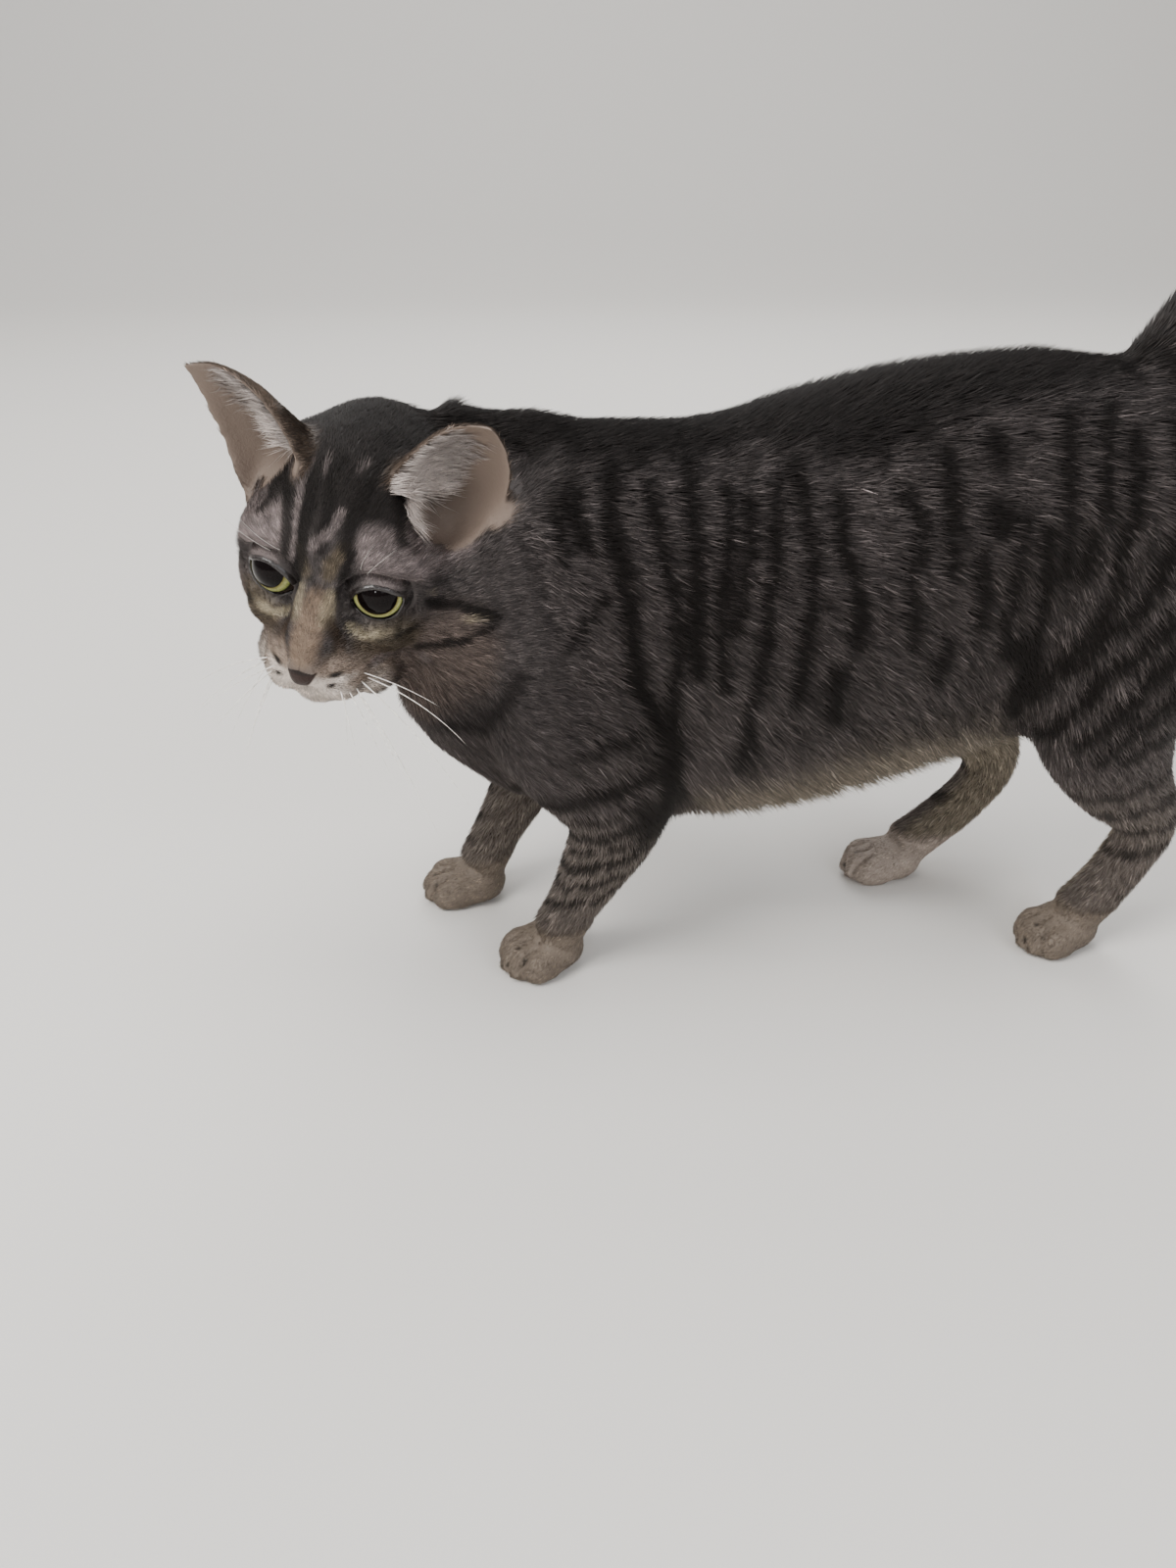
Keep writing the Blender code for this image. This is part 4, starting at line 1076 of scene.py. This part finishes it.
coat_pieces += [grow_ear_hair(name) for name in EAR_ROOTS]


# ---------------------------------------------------------------- materials

def start_material(name, settings):
    """A principled material with its uniform settings; its node tree and its shader."""
    material = bpy.data.materials.new(name)
    material.use_nodes = True
    shader = material.node_tree.nodes["Principled BSDF"]
    connect(material.node_tree, shader, settings)
    return material, material.node_tree, shader


def connect(tree, node, inputs):
    """Sets inputs of a node: another node's output is linked, a plain value is set."""
    for socket, value in inputs.items():
        if isinstance(value, bpy.types.NodeSocket):
            tree.links.new(value, node.inputs[socket])
        else:
            node.inputs[socket].default_value = value


def add_node(tree, kind, output, inputs=None, **settings):
    """Adds a shader node and gives one of its outputs."""
    node = tree.nodes.new("ShaderNode" + kind)
    for key, value in settings.items():
        setattr(node, key, value)
    connect(tree, node, inputs or {})
    return node.outputs[output]


def ramp(tree, factor, stops):
    colour = add_node(tree, "ValToRGB", "Color", {"Fac": factor})
    elements = colour.node.color_ramp.elements
    while len(elements) > 1:
        elements.remove(elements[-1])
    elements[0].position = stops[0][0]
    elements[0].color = (*stops[0][1], 1)
    for place, tint in stops[1:]:
        elements.new(place).color = (*tint, 1)
    return colour


def product(tree, first, second):
    mixed_by = {"A": first, "B": second, "Factor": 1.0}
    return add_node(tree, "Mix", "Result", mixed_by, data_type="RGBA", blend_type="MULTIPLY")


def fur_material():
    material, tree, shader = start_material("tabby fur", {"Roughness": 0.6, "Specular IOR Level": 0.22})
    colour = add_node(tree, "Attribute", "Color", attribute_name="coat_colour")
    strand = add_node(tree, "Attribute", "Fac", attribute_name="strand")
    # single hairs side by side along each tuft
    along = {"Scale": 2.6, "Detail": 2.0, "W": strand}
    hairs = add_node(tree, "TexNoise", "Fac", along, noise_dimensions="1D")
    shade = ramp(tree, hairs, ((0.30, (0.55, 0.55, 0.55)), (0.70, (1.35, 1.35, 1.35))))
    bump = add_node(tree, "Bump", "Normal", {"Strength": 0.35, "Distance": 0.0002, "Height": hairs})
    connect(tree, shader, {"Base Color": product(tree, colour, shade), "Normal": bump})
    return material


fur = fur_material()
for piece in coat_pieces:
    piece.data.materials.append(fur)
    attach(piece, "root")


def skin_material():
    dull = {"Roughness": 0.6, "Specular IOR Level": 0.3}
    material, tree, shader = start_material("skin under the coat", dull)
    colour = add_node(tree, "Attribute", "Color", attribute_name="coat_colour")
    place = add_node(tree, "TexCoord", "Object")
    grain = add_node(tree, "TexNoise", "Fac", {"Scale": 900.0, "Detail": 3.0, "Vector": place})
    bump = add_node(tree, "Bump", "Normal", {"Strength": 0.5, "Distance": 0.0006, "Height": grain})
    connect(tree, shader, {"Base Color": colour, "Normal": bump})
    return material


paint(skin.data, skin_colour * 0.7)  # darker than the coat that shades it
dress(skin.data, skin_material())
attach(skin, "root")
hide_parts(*FLESH)


# ---------------------------------------------------------------- eyes and lid rims

PUPIL_RADIUS, IRIS_RADIUS = 7.5 * MM, 9.7 * MM
GAZE_UP, GAZE_OUT = 25.0, 6.0  # degrees


def make_eye(name, side):
    """An eyeball with the bulge of its cornea; its iris and pupil are painted by distance from the gaze."""
    eye, mesh = primitive(name, bpy.ops.mesh.primitive_uv_sphere_add, segments=72, ring_count=48,
                          radius=EYE_RADIUS)
    gaze = turned(side * GAZE_OUT, "Z") @ turned(-GAZE_UP, "Y")
    ball = points_of(mesh)
    off_axis = np.hypot(ball[:, 0], ball[:, 1])
    front = ball[:, 2] > 0
    bulge = 0.9 * MM * np.clip(1 - (off_axis / IRIS_RADIUS) ** 2, 0, 1) ** 2 * front
    turn = np.arctan2(ball[:, 1], ball[:, 0])
    put_points(mesh, ball * (1 + bulge / EYE_RADIUS)[:, None])
    set_attribute(mesh, "off_axis", np.where(front, off_axis / MM, 20 - off_axis / MM))
    fibre = mesh.attributes.new(name="fibre", type="FLOAT_VECTOR", domain="POINT")
    ring = np.stack((np.cos(turn), np.sin(turn), off_axis / MM * 0.12), axis=1).astype(np.float32)
    fibre.data.foreach_set("vector", ring.ravel())
    mesh.transform(eye_axes(side) @ gaze @ turned(90, "Y"))
    mesh.update()
    dress(mesh, eye_material)
    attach(eye, "root")
    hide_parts("eye_left" if side > 0 else "eye_right")


def make_eye_material():
    wet = {"Roughness": 0.06, "Specular IOR Level": 0.11}
    material, tree, shader = start_material("wet eye, green and gold iris", wet)
    off_axis = add_node(tree, "Attribute", "Fac", attribute_name="off_axis")
    scaled = add_node(tree, "Math", 0, {0: off_axis, 1: EYE_RADIUS / MM}, operation="DIVIDE")
    rim, pupil = IRIS_RADIUS / EYE_RADIUS, PUPIL_RADIUS / EYE_RADIUS
    colours = ramp(tree, scaled, (
        (0.0, (0.006, 0.004, 0.004)),
        (pupil - 0.01, (0.005, 0.003, 0.003)),
        (pupil + 0.015, (0.26, 0.23, 0.08)),
        ((pupil + rim) / 2, (0.50, 0.51, 0.21)),
        (rim - 0.03, (0.36, 0.40, 0.12)),
        (rim + 0.005, (0.02, 0.018, 0.010)),
        (rim + 0.06, (0.05, 0.035, 0.028)),
    ))
    fibre = add_node(tree, "Attribute", "Vector", attribute_name="fibre")
    streaks = add_node(tree, "TexNoise", "Fac", {"Scale": 14.0, "Detail": 4.0, "Vector": fibre})
    shade = ramp(tree, streaks, ((0.3, (0.55, 0.55, 0.55)), (0.7, (1.0, 1.0, 1.0))))
    connect(tree, shader, {"Base Color": product(tree, colours, shade)})
    return material


def make_lid_rim(name, side):
    """The bare dark rim of both lids: a ring laid along the edge of the opening."""
    thick = 0.25
    rim, mesh = primitive(name, bpy.ops.mesh.primitive_torus_add, major_segments=120, minor_segments=12,
                          major_radius=1.0, minor_radius=thick)
    ring = points_of(mesh)
    angle = np.arctan2(ring[:, 1], ring[:, 0])
    beside = (np.hypot(ring[:, 0], ring[:, 1]) - 1.0) / thick
    above = ring[:, 2] / thick
    inner_corner = bell(angle_between(angle, INNER_CORNER), 0.30)
    width = (0.85 + 0.55 * inner_corner + 0.15 * (np.sin(angle) > 0)) * MM
    across = eye_opening(angle) + width * beside + 0.35 * MM
    reach = EYE_RADIUS + 0.50 * MM + 0.60 * MM * above - 0.25 * MM * np.abs(beside) + 0.25 * MM * (beside > 0)
    across = np.minimum(across, reach * 0.995)
    forward = np.sqrt(reach**2 - across**2)
    local = np.stack((forward, side * across * np.cos(angle), across * np.sin(angle)), axis=1)
    put_points(mesh, from_axes(local, eye_axes(side)))
    edit_whole(rim, bpy.ops.mesh.normals_make_consistent)
    dress(mesh, rim_material)
    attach(rim, "root")


def make_bare_material(name, colour, roughness, grain_scale, grain_depth, coat=0.0):
    settings = {"Roughness": roughness, "Coat Weight": coat, "Coat Roughness": 0.15}
    material, tree, shader = start_material(name, settings)
    place = add_node(tree, "TexCoord", "Object")
    grain = add_node(tree, "TexNoise", "Fac", {"Scale": grain_scale, "Detail": 4.0, "Vector": place})
    tint = ramp(tree, grain, ((0.3, [0.7 * c for c in colour]), (0.7, [1.25 * c for c in colour])))
    bump = add_node(tree, "Bump", "Normal", {"Distance": grain_depth, "Height": grain})
    connect(tree, shader, {"Base Color": tint, "Normal": bump})
    return material


eye_material = make_eye_material()
rim_material = make_bare_material("wet black lid rim", (0.012, 0.008, 0.007), 0.35, 1500.0, 0.0002, 0.5)
for side, word in ((1, "left"), (-1, "right")):
    make_eye("eyeball_" + word, side)
    make_lid_rim("lid_rim_" + word, side)


# ---------------------------------------------------------------- whiskers and brow hairs

def hair_mesh(name, hairs, material):
    """Long single hairs in one mesh: six-sided tubes that taper to their tips. Keys in head axes, mm."""
    sides, steps = 6, 14
    verts, faces = [], []
    for keys, thick in hairs:
        root, bend, end = (HEAD @ (Vector(k) * MM) for k in keys)
        shares = [i / steps for i in range(steps + 1)]
        path = [root * (1 - t) ** 2 + bend * 2 * t * (1 - t) + end * t**2 for t in shares]
        base = len(verts)
        for i, point in enumerate(path[:-1]):
            along = (path[min(i + 1, steps)] - path[max(i - 1, 0)]).normalized()
            across = along.cross(Vector((0.2, 0.3, 0.93))).normalized()
            other = along.cross(across)
            radius = 0.85 * thick * MM * (1 - 0.85 * i / steps)
            for k in range(sides):
                a = 2 * math.pi * k / sides
                verts.append(point + across * radius * math.cos(a) + other * radius * math.sin(a))
        tip, top = len(verts), base + (steps - 1) * sides
        verts += [path[-1], path[0]]
        ring = [(k, (k + 1) % sides) for k in range(sides)]
        for row in range(base, top, sides):
            faces += [(row + k, row + sides + k, row + sides + n, row + n) for k, n in ring]
        for k, n in ring:
            faces += [(top + k, tip, top + n), (base + n, tip + 1, base + k)]
    mesh = bpy.data.meshes.new(name)
    mesh.from_pydata([tuple(v) for v in verts], [], faces)
    mesh.update()
    obj = new_object(name, mesh)
    edit_whole(obj, bpy.ops.mesh.normals_make_consistent)
    dress(mesh, material)
    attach(obj, "root")


# Each whisker: root, bend and tip in head axes (mm), and half thickness at the root.
WHISKERS_LEFT = (
    (((13, 17, -31), (32, 43, -43), (48, 64, -65)), 0.40),
    (((11, 18.5, -30), (24, 50, -38), (41, 75, -53)), 0.38),
    (((15, 15, -31.5), (28, 29, -36), (38, 41, -49)), 0.38),
    (((8, 19.5, -31), (12, 46, -31), (22, 67, -40)), 0.34),
    (((17, 13, -30), (30, 22, -36), (40, 30, -49)), 0.32),
    (((9, 18, -28), (11, 38, -27), (14, 53, -31)), 0.28),
    (((12, 17, -33), (30, 36, -40), (43, 54, -53)), 0.30),
    (((15, 14, -33), (24, 18, -38), (31, 21, -47)), 0.26),
)
WHISKERS_RIGHT = (
    (((17, -13, -29), (30, -20, -32), (41, -28, -43)), 0.38),
    (((15, -14, -31), (32, -15, -36), (45, -14, -48)), 0.36),
    (((13, -16, -28), (20, -32, -29), (29, -43, -38)), 0.34),
    (((14, -14, -33), (32, -15, -39), (46, -16, -53)), 0.32),
    (((17, -12, -27), (28, -24, -29), (39, -35, -38)), 0.30),
    (((11, -17, -30), (24, -22, -38), (38, -25, -52)), 0.30),
    (((12, -16, -29), (24, -32, -35), (36, -41, -47)), 0.28),
)
BROW_HAIRS = tuple(
    (((-3.0 + 1.5 * k, side * (16 + 3 * k), 13.0), (8.0 + k, side * (20 + 5 * k), 26.0),
      (9.0, side * (27 + 8 * k), 38.0)), 0.10)
    for side in (-1, 1) for k in range(2)
)
hair_material = make_bare_material("white whisker", (0.86, 0.82, 0.76), 0.35, 600.0, 0.0001)
hair_mesh("whiskers_left", WHISKERS_LEFT, hair_material)
hair_mesh("whiskers_right", WHISKERS_RIGHT, hair_material)
hair_mesh("brow_hairs", BROW_HAIRS, hair_material)


# ---------------------------------------------------------------- studio

def add_camera():
    right = Vector((0.0799, 0.9968, 0.0)).normalized()
    up = Vector((-0.4833, 0.0388, 0.8746)).normalized()
    axes = Matrix((right, up, right.cross(up))).transposed().to_4x4()
    camera = new_object("camera", bpy.data.cameras.new("camera"))
    camera.matrix_world = Matrix.Translation((0.4948, -0.1629, 0.3525)) @ axes
    camera.data.lens = 28.125
    camera.data.sensor_width = 36
    camera.data.clip_start = 0.01
    bpy.context.scene.camera = camera


def add_floor():
    """A wide pale sweep: a flat floor that curves up into a wall behind the cat."""
    floor, mesh = primitive("studio_floor", bpy.ops.mesh.primitive_plane_add, size=1)
    bm = bmesh.new()
    steps, radius, wall = 24, 1.6, 7.0
    profile = [(4.0, 0.0), (-2.2, 0.0)]
    for k in range(1, steps + 1):
        a = math.pi / 2 * k / steps
        profile.append((-2.2 - radius * math.sin(a), radius * (1 - math.cos(a))))
    profile.append((profile[-1][0], wall))
    rows = [[bm.verts.new((x, y, z)) for y in (-9.0, 9.0)] for x, z in profile]
    for near, far in zip(rows[:-1], rows[1:]):
        bm.faces.new((near[0], near[1], far[1], far[0]))
    bm.to_mesh(mesh)
    bm.free()
    plain = {"Base Color": (0.74, 0.72, 0.69, 1), "Roughness": 0.8}
    dress(mesh, start_material("pale studio floor", plain)[0])


def add_lamp(name, place, aim, size, power, tint):
    lamp = new_object(name, bpy.data.lights.new(name, "AREA"))
    lamp.data.size = size
    lamp.data.energy = power
    lamp.data.color = tint
    turn = (Vector(place) - Vector(aim)).to_track_quat("Z", "Y")
    lamp.matrix_world = Matrix.Translation(place) @ turn.to_matrix().to_4x4()


add_camera()
add_floor()
add_lamp("key", (0.9, -1.3, 1.7), (0, 0, 0.15), 1.0, 46, (1.0, 0.98, 0.95))
add_lamp("fill", (1.6, 1.0, 1.2), (0, 0, 0.15), 1.4, 18, (0.96, 0.97, 1.0))
add_lamp("back", (-1.4, 0.2, 1.5), (0, 0, 0.2), 1.2, 14, (1.0, 1.0, 1.0))
add_lamp("sweep", (-0.6, 0.0, 3.6), (-3.2, 0, 0.6), 3.0, 110, (1.0, 0.99, 0.97))
add_lamp("catch_light", (1.26, -0.455, 0.573), (0.04, -0.21, 0.19), 0.12, 2.4, (1.0, 1.0, 1.0))
world = bpy.data.worlds.new("studio air")
world.use_nodes = True
air = {"Color": (0.80, 0.80, 0.82, 1), "Strength": 0.45}
connect(world.node_tree, world.node_tree.nodes["Background"], air)
bpy.context.scene.world = world
